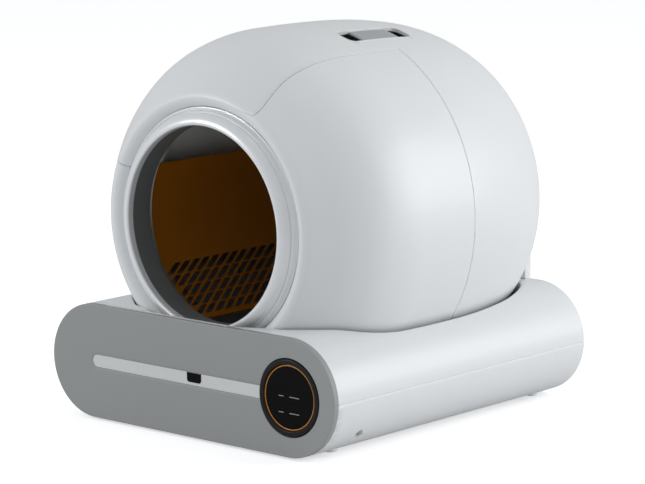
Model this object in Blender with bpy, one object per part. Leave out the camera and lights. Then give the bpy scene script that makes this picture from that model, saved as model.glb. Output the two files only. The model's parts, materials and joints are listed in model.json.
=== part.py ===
# Self cleaning litter box: a stadium-shaped base with a waste drawer, a lift-off globe,
# and inside the globe a drum with a slotted sifter that turns on four rollers.
# Metres, +Z up, front towards -Y. The origin is on the ground under the middle of the box.

import math

import bmesh
import bpy
from mathutils import Vector
from mathutils.geometry import delaunay_2d_cdt

# Overall sizes
BASE_DEPTH = 0.500
BASE_TOP = 0.150
BASE_SIDE_MARGIN = 0.004
OPENING_RADIUS = 0.125
FIT_GAP = 0.0003
SHELL_WALL = 0.003
OVERRUN = 0.010
STADIUM_STEPS = 12

# Feet
FOOT_HEIGHT = 0.003
FOOT_RADIUS = 0.014
FOOT_TAPER = 0.002
FOOT_SIDE_INSET = 0.090
FOOT_END_INSET = 0.045

# Drawer front, its light stripe and the black window in the stripe
PANEL_THICKNESS = 0.008
PANEL_VALLEY = 0.003
PANEL_EDGE = 0.0008
STRIPE_HEIGHT = 0.0162
STRIPE_GROOVE = 0.0015
STRIPE_THICKNESS = 0.001
WINDOW_WIDTH = 0.0245
WINDOW_HEIGHT = 0.0122
WINDOW_THICKNESS = 0.0013
WINDOW_CORNER = 0.003
WINDOW_X = 0.0072
PULL_WIDTH = 0.210
PULL_X = -0.045
PULL_DEPTH = 0.003
PULL_HEIGHT = 0.004

# Round control pod
POD_RADIUS = 0.0481
POD_HOLE_CLEARANCE = 0.0008
POD_DEPTH = 0.0375
POD_RIM_WIDTH = 0.0079
POD_SEAT_WIDTH = 0.005
POD_RIM_BEVEL = 0.0012
POD_SHOULDER_DEPTH = 0.0075
POD_BACK_WALL = 0.0025
POD_SINK = 0.0024
LIGHT_RING_WIDTH = 0.0013
BOARD_THICKNESS = 0.0016
CONTROL_BOARD_DEPTH = 0.024
POD_BRACKET_THICKNESS = 0.003
POD_STEPS = 34

# Screw wells under the round sides
WELL_RADIUS = 0.005
WELL_WALL = 0.003
WELL_SIDE_INSET = 0.0193
WELL_END_INSET = 0.064
WELL_TOP = 0.050

# Waste drawer
BIN_LEFT_MARGIN = 0.1085
BIN_POD_GAP = 0.0169
BIN_END_ROOM = 0.146
BIN_HEIGHT = 0.0595
BIN_WALL = 0.002
BIN_CORNER = 0.015
TRAY_MARGIN = 0.0022
TRAY_HEIGHT = 0.029
RAIL_WIDTH = 0.002
RAIL_HEIGHT = 0.014
RAIL_CLEARANCE = 0.0005
RAIL_END_ROOM = 0.200
BAG_RING_WIDTH = 0.006
BAG_RING_THICKNESS = 0.003
BAG_RING_LIP = 0.0025

# Globe cover
GLOBE_WALL = 0.003
GLOBE_SEAM_Y = 0.024
GLOBE_SEAM_GAP = 0.0006
DECK_GAP = 0.005
OPENING_BACK_GAP = 0.0027
GLOBE_STEP_ANGLE = 16.0
TONGUE_LEFT_ANGLE = 56.0
TONGUE_RIGHT_ANGLE = 28.5
RING_WIDTH = 0.0225
RING_CREST = 0.004
RING_SETBACK = 0.017
RING_DEPTH = 0.0255
RING_WALL = 0.003
LIP_DEPTH = 0.0095
RING_INNER_DEPTH = 0.0193
COLLAR_LENGTH = 0.0347
COLLAR_WALL = 0.003
COLLAR_FLANGE_GAP = 0.0015
COLLAR_FLANGE = 0.0025

# Lifting grip on the globe
GRIP_ANGLE = 17.5
GRIP_LENGTH = 0.135
GRIP_WIDTH = 0.034
GRIP_Y = 0.024
GRIP_RIM = 0.0025
GRIP_DEPTH = 0.009
GRIP_PLATE_LENGTH = 0.070
GRIP_PLATE_THICKNESS = 0.0025
GRIP_PLATE_SINK = 0.0032
GRIP_CROWN = 0.0004

# Drum
DRUM_WALL = 0.0025
DRUM_MOUTH_STEP = 0.0065
DRUM_FRONT_GAP = 0.0025
NOSE_LENGTH = 0.0145
NOSE_DROP = 0.016
TRACK_STEP = 0.0235
FRONT_TRACK_WIDTH = 0.016
FRONT_SHOULDER = 0.034
BARREL_STEP = 0.023
DRUM_ROOM = 0.058
DRUM_BIN_ROOM = 0.0144
DRUM_BACK_ROOM = 0.066
BACK_TRACK_WIDTH = 0.024
BACK_SHOULDER = 0.044
PORT_MARGIN = 0.015
PORT_HALF_ANGLE = 22.5
PORT_FRAME_WIDTH = 0.012
PORT_FRAME_ANGLE = 4.5
PORT_FRAME_WALL = 0.0023
DRUM_COLUMNS = 32
RING_STEPS = 32

# Sifter inside the drum
SIFTER_TOP_ANGLE = 67.3
SIFTER_BOTTOM_ANGLE = 149.4
SIFTER_GRID_TOP_ANGLE = 118.6
SIFTER_WALL = 0.002
SIFTER_END_GAP = 0.002
SLOT_PITCH = 0.0175
SLOT_LENGTH = 0.0150
SLOT_WIDTH = 0.0075
SLOT_SLANT = 0.0110
SLOT_ROWS = 4
SLOT_EDGE = 0.005

# Drive
GEAR_MODULE = 0.005
PINION_TEETH = 9
GEAR_INSET = 0.011
GEAR_WIDTH = 0.012
GEAR_RIM = 0.006
GEAR_BACKLASH = 0.0004
SHAFT_RADIUS = 0.003
SHAFT_CLEARANCE = 0.0003
MOTOR_RADIUS = 0.0185
MOTOR_CAN_RADIUS = 0.0165
GEARBOX_LENGTH = 0.024
MOTOR_LENGTH = 0.052
MOTOR_PLATE = 0.003
MOTOR_PLATE_HALF_WIDTH = 0.028
MOTOR_PLATE_FOOT = 0.024
MOTOR_PLATE_MARGIN = 0.0035
GEAR_SIDE_CLEARANCE = 0.0015
SHAFT_ENGAGEMENT = 0.007

# Rollers
ROLLER_RADIUS = 0.012
ROLLER_WIDTH = 0.012
ROLLER_FOOT_GAP = 0.0058
ROLLER_PIN_RADIUS = 0.0025
ROLLER_EAR = 0.0025
ROLLER_EAR_WIDTH = 0.014
ROLLER_FOOT = 0.003

# Cradle under the drum
LEDGE_DROP = 0.019
CRADLE_WALL = 0.0025
CRADLE_SIDE_GAP = 0.0005
CRADLE_FRONT_INSET = 0.0385
CRADLE_BACK_INSET = 0.007
CRADLE_CLEARANCE = 0.006
CHUTE_HALF_WIDTH = 0.085
GEAR_NOTCH_MARGIN = 0.005
GEAR_NOTCH_TAIL = 0.0167
BOSS_RADIUS = 0.008
BOSS_OFFSET = 0.0235
BOSS_END_INSET = 0.050

# Rear column, boards and power inlet
COLUMN_INSET = 0.0215
COLUMN_HEIGHT = 0.090
COLUMN_DEPTH = 0.0125
COLUMN_CORNER = 0.020
COLUMN_GAP = 0.0035
BOARD_LENGTH = 0.100
BOARD_WIDTH = 0.062
BOARD_GAP = 0.0435
BOARD_REAR_ROOM = 0.170
STANDOFF_HEIGHT = 0.006
STANDOFF_RADIUS = 0.003
STANDOFF_INSET = 0.005
CHIP_HEIGHT = 0.009
SOCKET_RADIUS = 0.0052
SOCKET_BORE = 0.0028
SOCKET_FLANGE_RADIUS = 0.008
SOCKET_FLANGE = 0.003
SOCKET_LENGTH = 0.011
SOCKET_BORE_DEPTH = 0.009
SOCKET_X = 0.120
SOCKET_Z = 0.040
SOCKET_LIP = 0.0005

# Places that follow from the sizes above
RING_RADIUS = OPENING_RADIUS + RING_WIDTH
RING_CREST_RADIUS = OPENING_RADIUS + RING_CREST
DRUM_MOUTH_RADIUS = OPENING_RADIUS + DRUM_MOUTH_STEP
TRACK_RADIUS = DRUM_MOUTH_RADIUS + TRACK_STEP
DRUM_RADIUS = TRACK_RADIUS + BARREL_STEP
GLOBE_RADIUS = DRUM_RADIUS + DRUM_ROOM
BASE_WIDTH = 2 * (GLOBE_RADIUS + BASE_SIDE_MARGIN)
END_RADIUS = (BASE_TOP - FOOT_HEIGHT) / 2
CORE_HALF = BASE_WIDTH / 2 - END_RADIUS
MID_Z = FOOT_HEIGHT + END_RADIUS
FRONT_Y = -BASE_DEPTH / 2
BACK_Y = BASE_DEPTH / 2
FOOT_X = BASE_WIDTH / 2 - FOOT_SIDE_INSET
FOOT_Y = BASE_DEPTH / 2 - FOOT_END_INSET
WELL_X = BASE_WIDTH / 2 - WELL_SIDE_INSET
WELL_Y = BASE_DEPTH / 2 - WELL_END_INSET
RING_REACH = BASE_DEPTH / 2 - RING_SETBACK
GROOVE_REACH = RING_REACH - RING_DEPTH
GLOBE_FRONT_REACH = GROOVE_REACH + LIP_DEPTH
RING_INNER_END = RING_REACH - RING_INNER_DEPTH
COLLAR_END = RING_INNER_END - COLLAR_LENGTH
DRUM_FRONT = COLLAR_END - DRUM_FRONT_GAP
TRACK_FRONT_START = DRUM_FRONT - NOSE_LENGTH
TRACK_FRONT_END = TRACK_FRONT_START - FRONT_TRACK_WIDTH
BARREL_FRONT = TRACK_FRONT_END - FRONT_SHOULDER
COLUMN_FRONT_Y = BACK_Y - COLUMN_DEPTH
COLUMN_HALF_WIDTH = CORE_HALF - COLUMN_INSET
GLOBE_BACK_REACH = COLUMN_FRONT_Y - COLUMN_GAP
DRUM_BACK = GLOBE_BACK_REACH - DRUM_BACK_ROOM
TRACK_BACK_START = DRUM_BACK - BACK_TRACK_WIDTH
BARREL_BACK = TRACK_BACK_START - BACK_SHOULDER
PORT_HALF_LENGTH = BARREL_BACK - PORT_MARGIN
PANEL_BACK_Y = FRONT_Y + PANEL_THICKNESS
SHELL_FRONT_Y = PANEL_BACK_Y + FIT_GAP
FLOOR_TOP = FOOT_HEIGHT + SHELL_WALL
POD_X = CORE_HALF
POD_RIM_INNER = POD_RADIUS - POD_RIM_WIDTH
POD_CAVITY_RADIUS = POD_RIM_INNER - POD_SEAT_WIDTH
BIN_LEFT = BASE_WIDTH / 2 - BIN_LEFT_MARGIN
BIN_RIGHT = POD_X - POD_RADIUS - BIN_POD_GAP
BIN_LENGTH = BASE_DEPTH - BIN_END_ROOM
RAIL_LENGTH = BASE_DEPTH - RAIL_END_ROOM
TRAY_LOW = FLOOR_TOP + FIT_GAP
BIN_LOW = TRAY_LOW + TRAY_MARGIN + FIT_GAP
BIN_HIGH = BIN_LOW + BIN_HEIGHT
BAG_RING_TOP = BIN_HIGH + FIT_GAP + BAG_RING_THICKNESS
AXIS_Z = BAG_RING_TOP + DRUM_BIN_ROOM + DRUM_RADIUS
LEDGE_TOP = BASE_TOP - LEDGE_DROP
COVER_CUT_Z = LEDGE_TOP + FIT_GAP
ROLLER_FRONT_Y = (TRACK_FRONT_START + TRACK_FRONT_END) / 2
ROLLER_BACK_Y = (TRACK_BACK_START + DRUM_BACK) / 2
SIFTER_RADIUS = (TRACK_RADIUS - DRUM_WALL) * math.cos(math.pi / DRUM_COLUMNS) - FIT_GAP
SIFTER_FRONT = TRACK_FRONT_START - SIFTER_END_GAP
SIFTER_BACK = DRUM_BACK - DRUM_WALL - SIFTER_END_GAP
RING_GEAR_TEETH = round(2 * (TRACK_RADIUS - GEAR_INSET) / GEAR_MODULE)
RING_GEAR_PITCH = GEAR_MODULE * RING_GEAR_TEETH / 2
PINION_PITCH = GEAR_MODULE * PINION_TEETH / 2
PINION_Z = AXIS_Z - RING_GEAR_PITCH - PINION_PITCH - GEAR_BACKLASH
GEAR_FRONT_Y = DRUM_BACK + FIT_GAP
GEAR_BACK_Y = GEAR_FRONT_Y + GEAR_WIDTH
MOTOR_PLATE_Y = GEAR_BACK_Y + MOTOR_PLATE_MARGIN + GEAR_SIDE_CLEARANCE
MOTOR_FRONT_Y = MOTOR_PLATE_Y + MOTOR_PLATE + FIT_GAP
GEAR_NOTCH_HALF_WIDTH = MOTOR_PLATE_HALF_WIDTH + GEAR_NOTCH_MARGIN
GEAR_NOTCH_FRONT = DRUM_BACK - GEAR_NOTCH_MARGIN
GEAR_NOTCH_BACK = GEAR_BACK_Y + GEAR_NOTCH_TAIL
INNER_END_RADIUS = (END_RADIUS - SHELL_WALL) * math.cos(math.pi / (2 * STADIUM_STEPS))
CRADLE_HALF_WIDTH = (CORE_HALF + math.sqrt(INNER_END_RADIUS ** 2 - (LEDGE_TOP - MID_Z) ** 2)
                     - CRADLE_SIDE_GAP)
CRADLE_FRONT = BASE_DEPTH / 2 - CRADLE_FRONT_INSET
CRADLE_BACK = BASE_DEPTH / 2 - CRADLE_BACK_INSET
BOSS_X = CORE_HALF + BOSS_OFFSET
BOSS_Y = BASE_DEPTH / 2 - BOSS_END_INSET
BOARD_X = BIN_RIGHT + BOARD_GAP
BOARD_Y = BACK_Y - BOARD_REAR_ROOM
BAND_STATION = 4

# Globe outline behind its front lip: (share of the reach to that end, share of the radius)
GLOBE_FRONT_SHARES = [
    (0.990, 0.7035), (0.945, 0.747), (0.8986, 0.785), (0.845, 0.830), (0.7834, 0.873),
    (0.645, 0.944), (0.461, 0.988), (0.230, 1.000), (0.0, 1.000),
]
GLOBE_BACK_SHARES = [
    (0.230, 0.993), (0.427, 0.975), (0.598, 0.947), (0.769, 0.892), (0.897, 0.824),
    (0.960, 0.770), (0.990, 0.732), (1.0, 0.700),
]


# Root and tip corners of one gear tooth, as shares of the tooth's pitch
TOOTH_SHARES = (-0.33, -0.11, 0.11, 0.33)


# Scene helpers

def clear_scene():
    for obj in list(bpy.data.objects):
        bpy.data.objects.remove(obj, do_unlink=True)


def make_material(name, colour, roughness, metallic=0.0, alpha=1.0):
    material = bpy.data.materials.new(name)
    material.use_nodes = True
    shader = material.node_tree.nodes["Principled BSDF"]
    shader.inputs["Base Color"].default_value = (*colour, 1.0)
    shader.inputs["Roughness"].default_value = roughness
    shader.inputs["Metallic"].default_value = metallic
    shader.inputs["Alpha"].default_value = alpha
    return material


def make_frame(name, location=(0, 0, 0)):
    empty = bpy.data.objects.new(name, None)
    empty.location = location
    bpy.context.scene.collection.objects.link(empty)
    return empty


def add_piece(name, bm, material=None, frame=None, smooth_angle=35.0):
    """Turn a bmesh in world coordinates into an object that hangs on its body's empty."""
    bmesh.ops.recalc_face_normals(bm, faces=bm.faces)
    if bm.calc_volume(signed=True) < 0:
        bmesh.ops.reverse_faces(bm, faces=bm.faces)
    shift = Vector(frame.location) if frame else Vector((0, 0, 0))
    bmesh.ops.translate(bm, verts=bm.verts, vec=-shift)
    mesh = bpy.data.meshes.new(name)
    bm.to_mesh(mesh)
    bm.free()
    obj = bpy.data.objects.new(name, mesh)
    bpy.context.scene.collection.objects.link(obj)
    if frame:
        obj.parent = frame
    if material:
        mesh.materials.append(material)
    mesh.shade_smooth()
    mesh.set_sharp_from_angle(angle=math.radians(smooth_angle))
    return obj


def change(target, tool_name, bm, operation, frame=None):
    """Put a live boolean on target; its tool stays in the file as a hidden wire."""
    tool = add_piece(tool_name, bm, frame=frame)
    tool.hide_render = True
    tool.display_type = "WIRE"
    modifier = target.modifiers.new(tool_name, "BOOLEAN")
    modifier.operation = operation
    modifier.solver = "EXACT"
    modifier.object = tool
    return tool


def cut(target, tool_name, bm):
    return change(target, tool_name, bm, "DIFFERENCE")


def join(target, tool_name, bm):
    return change(target, tool_name, bm, "UNION")


# Solids

def box(low, high):
    bm = bmesh.new()
    bmesh.ops.create_cube(bm, size=1)
    size = [b - a for a, b in zip(low, high)]
    middle = [(a + b) / 2 for a, b in zip(low, high)]
    bmesh.ops.scale(bm, verts=bm.verts, vec=size)
    bmesh.ops.translate(bm, verts=bm.verts, vec=middle)
    return bm


def loft(loops, close=False):
    """Skin closed loops with equal point counts; the ends are capped unless close is set."""
    bm = bmesh.new()
    rings = [[bm.verts.new(point) for point in loop] for loop in loops]
    count = len(loops[0])
    pairs = list(zip(rings, rings[1:]))
    if close:
        pairs.append((rings[-1], rings[0]))
    for first, second in pairs:
        for i in range(count):
            j = (i + 1) % count
            bm.faces.new((first[i], first[j], second[j], second[i]))
    if not close:
        bm.faces.new(rings[0])
        bm.faces.new(rings[-1])
    return bm


def prism_y(outline, y0, y1):
    return loft([[(x, y, z) for x, z in outline] for y in (y0, y1)])


def prism_z(outline, z0, z1):
    return loft([[(x, y, z) for x, y in outline] for z in (z0, z1)])


def prism_x(outline, x0, x1):
    return loft([[(x, y, z) for y, z in outline] for x in (x0, x1)])


def turn_y(profile, x, z, steps, ring=False):
    """Turn (radius, y) points about a line along Y. A ring profile is closed and clear of
    the line; any other starts and ends on it."""
    if ring:
        loops = []
        for k in range(steps):
            angle = math.tau * k / steps
            loops.append([(x + r * math.sin(angle), y, z + r * math.cos(angle)) for r, y in profile])
        return loft(loops, close=True)
    loops = []
    for r, y in profile:
        angles = [math.tau * k / steps for k in range(steps)]
        loops.append([(x + r * math.sin(a), y, z + r * math.cos(a)) for a in angles])
    return loft(loops)


def turn_z(profile, x, y, steps):
    loops = []
    for r, z in profile:
        angles = [math.tau * k / steps for k in range(steps)]
        loops.append([(x + r * math.cos(a), y + r * math.sin(a), z) for a in angles])
    return loft(loops)


def cylinder_y(radius, x, z, y0, y1, steps=32):
    return turn_y([(radius, y0), (radius, y1)], x, z, steps)


def cylinder_z(radius, x, y, z0, z1, steps=10):
    return turn_z([(radius, z0), (radius, z1)], x, y, steps)


# Outlines

def stadium(inset=0.0, steps=STADIUM_STEPS, half=None):
    """Points (x, z) of the base's stadium, moved in by inset. half keeps its lower (-1)
    or upper (1) part, closed along the parting line."""
    radius = END_RADIUS - inset
    points = []
    for side in (1, -1):
        for k in range(steps + 1):
            angle = math.pi * k / steps
            x = side * (CORE_HALF + radius * math.sin(angle))
            points.append((x, MID_Z - side * radius * math.cos(angle)))
    if half is None:
        return points
    limit = MID_Z + half * FIT_GAP / 2
    kept = []
    for x, z in points:
        if half * (z - MID_Z) > radius * math.sin(math.pi / steps) / 2:
            kept.append((x, z))
    side_x = CORE_HALF + radius
    right = [p for p in kept if p[0] > 0]
    left = [p for p in kept if p[0] <= 0]
    if half < 0:
        return right + [(side_x, limit), (-side_x, limit)] + left
    return [(side_x, limit)] + right + left + [(-side_x, limit)]


def rounded_box(x0, x1, y0, y1, radius, steps=4):
    points = []
    corners = [(x1 - radius, y1 - radius, 0), (x0 + radius, y1 - radius, 90),
               (x0 + radius, y0 + radius, 180), (x1 - radius, y0 + radius, 270)]
    for cx, cy, start in corners:
        for k in range(steps + 1):
            angle = math.radians(start + 90 * k / steps)
            points.append((cx + radius * math.cos(angle), cy + radius * math.sin(angle)))
    return points


def gear_outline(teeth, pitch_radius, first_angle):
    """Points (x, z) of the teeth about the gear's centre. first_angle is where the middle
    of one tooth lies, counted from straight down."""
    tip = pitch_radius + GEAR_MODULE
    root = pitch_radius - GEAR_MODULE * 1.25
    tooth = math.tau / teeth
    points = []
    for k in range(teeth):
        middle = first_angle + tooth * k
        for share, radius in zip(TOOTH_SHARES, (root, tip, tip, root)):
            angle = middle + share * tooth
            points.append((radius * math.sin(angle), -radius * math.cos(angle)))
    return points


# Globe outline

def globe_profile():
    """Outer (y, radius) points from the ring's groove over the lip to the flat back."""
    lip = GLOBE_FRONT_REACH
    lip_depth = lip - GROOVE_REACH
    rim = (RING_RADIUS + FIT_GAP) / math.cos(math.radians(GLOBE_STEP_ANGLE / 2))
    lip_rise = GLOBE_RADIUS * GLOBE_FRONT_SHARES[0][1] - rim
    points = [
        (-GROOVE_REACH, rim),
        (-GROOVE_REACH - 0.35 * lip_depth, rim + 0.11 * lip_rise),
        (-GROOVE_REACH - 0.80 * lip_depth, rim + 0.36 * lip_rise),
        (-lip, rim + 0.68 * lip_rise),
    ]
    points += [(-lip * s, GLOBE_RADIUS * r) for s, r in GLOBE_FRONT_SHARES]
    seam_share = GLOBE_SEAM_Y / GLOBE_BACK_REACH
    step = GLOBE_BACK_SHARES[0]
    seam_radius = GLOBE_RADIUS * (1 + (step[1] - 1) * seam_share / step[0])
    points.append((GLOBE_SEAM_Y, seam_radius))
    points += [(GLOBE_BACK_REACH * s, GLOBE_RADIUS * r) for s, r in GLOBE_BACK_SHARES]
    return points


def offset_profile(profile, distance):
    """Move a (y, radius) profile inwards, square to its own direction."""
    moved = []
    for i, (y, r) in enumerate(profile):
        y0, r0 = profile[max(i - 1, 0)]
        y1, r1 = profile[min(i + 1, len(profile) - 1)]
        length = math.hypot(y1 - y0, r1 - r0)
        moved.append((y + distance * (r1 - r0) / length, r - distance * (y1 - y0) / length))
    return moved


def globe_radius_at(y):
    """Radius of the globe at y, held at the lip's radius in front of the lip."""
    points = globe_profile()[3:]
    if y <= points[0][0]:
        return points[0][1]
    for (y0, r0), (y1, r1) in zip(points, points[1:]):
        if y <= y1:
            return r0 + (r1 - r0) * (y - y0) / (y1 - y0)
    return points[-1][1]


def deck_height_at(x):
    beyond = max(abs(x) - CORE_HALF, 0.0)
    return MID_Z + math.sqrt(max(END_RADIUS ** 2 - beyond ** 2, 0.0))


def gap_half_width(radius):
    """Half width of the deck's opening where the globe has this radius."""
    x = radius * math.sin(math.radians(60))
    for _ in range(30):
        drop = AXIS_Z - deck_height_at(x)
        x = math.sqrt(max((radius + DECK_GAP) ** 2 - drop ** 2, 0.0))
    return x


def opening_outline(grow=0.0):
    """Plan (x, y) of the deck's opening: it follows the ring, then the globe."""
    ring_front = -RING_REACH - DECK_GAP * 0.6
    lip_front = -GLOBE_FRONT_REACH - DECK_GAP
    crest_half = gap_half_width(RING_CREST_RADIUS + RING_WALL)
    ring_half = gap_half_width(RING_RADIUS)
    right = [(crest_half, ring_front), (ring_half, lip_front)]
    right.append((gap_half_width(globe_radius_at(lip_front)), lip_front + DECK_GAP * 0.2))
    for y, _ in globe_profile()[4:]:
        right.append((gap_half_width(globe_radius_at(y)), y))
    back = GLOBE_BACK_REACH + OPENING_BACK_GAP
    end_half = right[-1][0]
    right.append((end_half - DECK_GAP, GLOBE_BACK_REACH + OPENING_BACK_GAP * 0.7))
    right.append((end_half - 3 * DECK_GAP, back))
    if grow:
        right = grow_outline(right, grow)
    left = [(-x, y) for x, y in reversed(right)]
    return right + left


def grow_outline(points, distance):
    """Move an open outline on the +X side outwards, square to its own direction."""
    grown = []
    for i, (x, y) in enumerate(points):
        x0, y0 = points[i - 1] if i else (0.0, points[0][1])
        x1, y1 = points[i + 1] if i + 1 < len(points) else (0.0, points[-1][1])
        length = math.hypot(x1 - x0, y1 - y0)
        grown.append((x + distance * (y1 - y0) / length, y - distance * (x1 - x0) / length))
    return grown


# Curved shells

def shell_from_grids(outer, inner, kept, wrap=False, cap_last=False):
    """Skin two matching grids of points and close every free edge between them.
    kept[i][j] says whether the cell from row i, column j exists."""
    bm = bmesh.new()
    rows = len(outer)
    columns = len(outer[0])
    cells = [(i, j) for i in range(rows - 1) for j in range(columns - (0 if wrap else 1)) if kept[i][j]]
    verts = {}

    def vert(layer, i, j):
        j = j % columns if wrap else j
        key = (layer, i, j)
        if key not in verts:
            grid = outer if layer == 0 else inner
            verts[key] = bm.verts.new(grid[i][j])
        return verts[key]

    edges = {}
    for i, j in cells:
        k = (j + 1) % columns if wrap else j + 1
        corners = [(i, j), (i, k), (i + 1, k), (i + 1, j)]
        bm.faces.new([vert(0, *c) for c in corners])
        bm.faces.new([vert(1, *c) for c in reversed(corners)])
        for a, b in zip(corners, corners[1:] + corners[:1]):
            edges.setdefault(frozenset((a, b)), []).append((a, b))
    free = [e[0] for e in edges.values() if len(e) == 1]
    if cap_last:
        last = [e for e in free if e[0][0] == e[1][0] == rows - 1]
        free = [e for e in free if e not in last]
        span = sorted({c[1] for e in last for c in e})
        bm.faces.new([vert(0, rows - 1, j) for j in span])
        bm.faces.new([vert(1, rows - 1, j) for j in reversed(span)])
        if not wrap:
            free.append(((rows - 1, span[-1]), (rows - 1, span[0])))
    for a, b in free:
        bm.faces.new((vert(0, *a), vert(1, *a), vert(1, *b), vert(0, *b)))
    return bm


def around(angle, radius, y):
    return (radius * math.sin(angle), y, AXIS_Z + radius * math.cos(angle))


def cut_angle(radius):
    """Angle from the top at which a circle of this radius meets the cover's lower edge."""
    return math.acos(max(-1.0, (COVER_CUT_Z - AXIS_Z) / radius))


def spread(marks, counts):
    """Angles that divide each stretch between two marks into equal steps."""
    angles = []
    for (a, b), count in zip(zip(marks, marks[1:]), counts):
        angles += [a + (b - a) * k / count for k in range(count)]
    return angles + [marks[-1]]


def globe_grids(profile, marks_at, counts):
    inner = offset_profile(profile, GLOBE_WALL)
    grids = []
    for points in (profile, inner):
        grid = []
        for (y, r) in points:
            grid.append([around(a, r, y) for a in spread(marks_at(r), counts)])
        grids.append(grid)
    return grids


def build_globe(frame, white):
    profile = globe_profile()
    seam_row = next(i for i, (y, _) in enumerate(profile) if abs(y - GLOBE_SEAM_Y) < FIT_GAP / 10)
    left = math.radians(TONGUE_LEFT_ANGLE)
    right = math.radians(TONGUE_RIGHT_ANGLE)

    def top_marks(radius):
        return [-cut_angle(radius), -left, 0.0, right, cut_angle(radius)]

    counts = (6, 5, 2, 8)
    outer, inner = globe_grids(profile, top_marks, counts)
    columns = sum(counts)
    middle = range(counts[0], counts[0] + counts[1] + counts[2])
    kept = []
    for i in range(len(profile) - 1):
        kept.append([i >= seam_row or j in middle for j in range(columns)])
    top = add_piece("globe_top_rear_shell", shell_from_grids(outer, inner, kept, cap_last=True),
                    white, frame)

    def front_marks(radius):
        gap = GLOBE_SEAM_GAP / radius
        low = cut_angle(radius)
        return [right + gap, low, math.tau - low, math.tau - left - gap]

    front = profile[:seam_row + 1]
    front[-1] = (GLOBE_SEAM_Y - GLOBE_SEAM_GAP, front[-1][1])
    counts = (8, 5, 6)
    outer, inner = globe_grids(front, front_marks, counts)
    bottom = range(counts[0], counts[0] + counts[1])
    kept = []
    for i in range(len(front) - 1):
        kept.append([i < BAND_STATION or j not in bottom for j in range(sum(counts))])
    add_piece("globe_front_shell", shell_from_grids(outer, inner, kept), white, frame)
    return top


def build_entry(frame, silver, dark):
    crest = RING_CREST_RADIUS
    reach = RING_REACH
    outer = RING_RADIUS
    rise = outer - crest
    depth = reach - GROOVE_REACH
    ring = [
        (outer, -GROOVE_REACH + FIT_GAP * 2),
        (outer, -GROOVE_REACH - 0.15 * depth),
        (outer - 0.07 * rise, -GROOVE_REACH - 0.36 * depth),
        (outer - 0.25 * rise, -GROOVE_REACH - 0.60 * depth),
        (outer - 0.52 * rise, -GROOVE_REACH - 0.83 * depth),
        (outer - 0.80 * rise, -GROOVE_REACH - 0.96 * depth),
        (crest, -reach),
        (OPENING_RADIUS, -reach + 0.20 * depth),
        (OPENING_RADIUS, -RING_INNER_END),
        (OPENING_RADIUS + RING_WALL, -RING_INNER_END),
        (OPENING_RADIUS + RING_WALL, -reach + 0.35 * depth),
        (outer - 0.60 * rise, -GROOVE_REACH - 0.62 * depth),
        (outer - RING_WALL, -GROOVE_REACH - 0.25 * depth),
        (outer - RING_WALL, -GROOVE_REACH + FIT_GAP * 2),
    ]
    add_piece("entry_ring", turn_y(ring, 0, AXIS_Z, RING_STEPS, ring=True), silver, frame)
    flange_front = -GROOVE_REACH + FIT_GAP * 3
    flange_radius = RING_RADIUS - COLLAR_FLANGE_GAP
    collar = [
        (OPENING_RADIUS, -RING_INNER_END + FIT_GAP),
        (OPENING_RADIUS, -COLLAR_END),
        (OPENING_RADIUS + COLLAR_WALL, -COLLAR_END),
        (OPENING_RADIUS + COLLAR_WALL, flange_front + COLLAR_FLANGE),
        (flange_radius, flange_front + COLLAR_FLANGE),
        (flange_radius, flange_front),
        (OPENING_RADIUS + COLLAR_WALL, flange_front),
        (OPENING_RADIUS + COLLAR_WALL, -RING_INNER_END + FIT_GAP),
    ]
    add_piece("entry_collar", turn_y(collar, 0, AXIS_Z, RING_STEPS, ring=True), dark, frame)


def grip_solid(half_length, half_width, low, high, corner):
    """Upright rounded block in the grip's own place, turned with the globe's surface."""
    outline = rounded_box(-half_width, half_width, GRIP_Y - half_length, GRIP_Y + half_length, corner)
    angle = math.radians(GRIP_ANGLE)
    loops = []
    for radius in (low, high):
        loop = []
        for x, y in outline:
            loop.append((x * math.cos(angle) + radius * math.sin(angle), y,
                         AXIS_Z - x * math.sin(angle) + radius * math.cos(angle)))
        loops.append(loop)
    return loft(loops)


def build_grip(top, frame, white, grey):
    half_length = GRIP_LENGTH / 2
    half_width = GRIP_WIDTH / 2
    corner = GRIP_WIDTH / 4
    surface = globe_radius_at(GRIP_Y + half_length) - half_width ** 2 / (2 * GLOBE_RADIUS)
    crown = surface - GRIP_CROWN
    cut(top, "grip_window", grip_solid(half_length, half_width, surface - 2 * GRIP_DEPTH,
                                       GLOBE_RADIUS + OVERRUN, corner))
    rim = add_piece("grip_frame", grip_solid(half_length - FIT_GAP, half_width - FIT_GAP,
                                             crown - GRIP_DEPTH, crown, corner - FIT_GAP), white, frame)
    inner_length = half_length - GRIP_RIM
    inner_width = half_width - GRIP_RIM
    inner_corner = corner - GRIP_RIM
    cut(rim, "grip_hollow", grip_solid(inner_length, inner_width, crown - 2 * GRIP_DEPTH,
                                       crown + OVERRUN, inner_corner))
    add_piece("grip_plate", grip_solid(GRIP_PLATE_LENGTH / 2, inner_width - FIT_GAP,
                                       crown - GRIP_PLATE_SINK - GRIP_PLATE_THICKNESS,
                                       crown - GRIP_PLATE_SINK, inner_corner / 2), grey, frame)


# Drum

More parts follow.
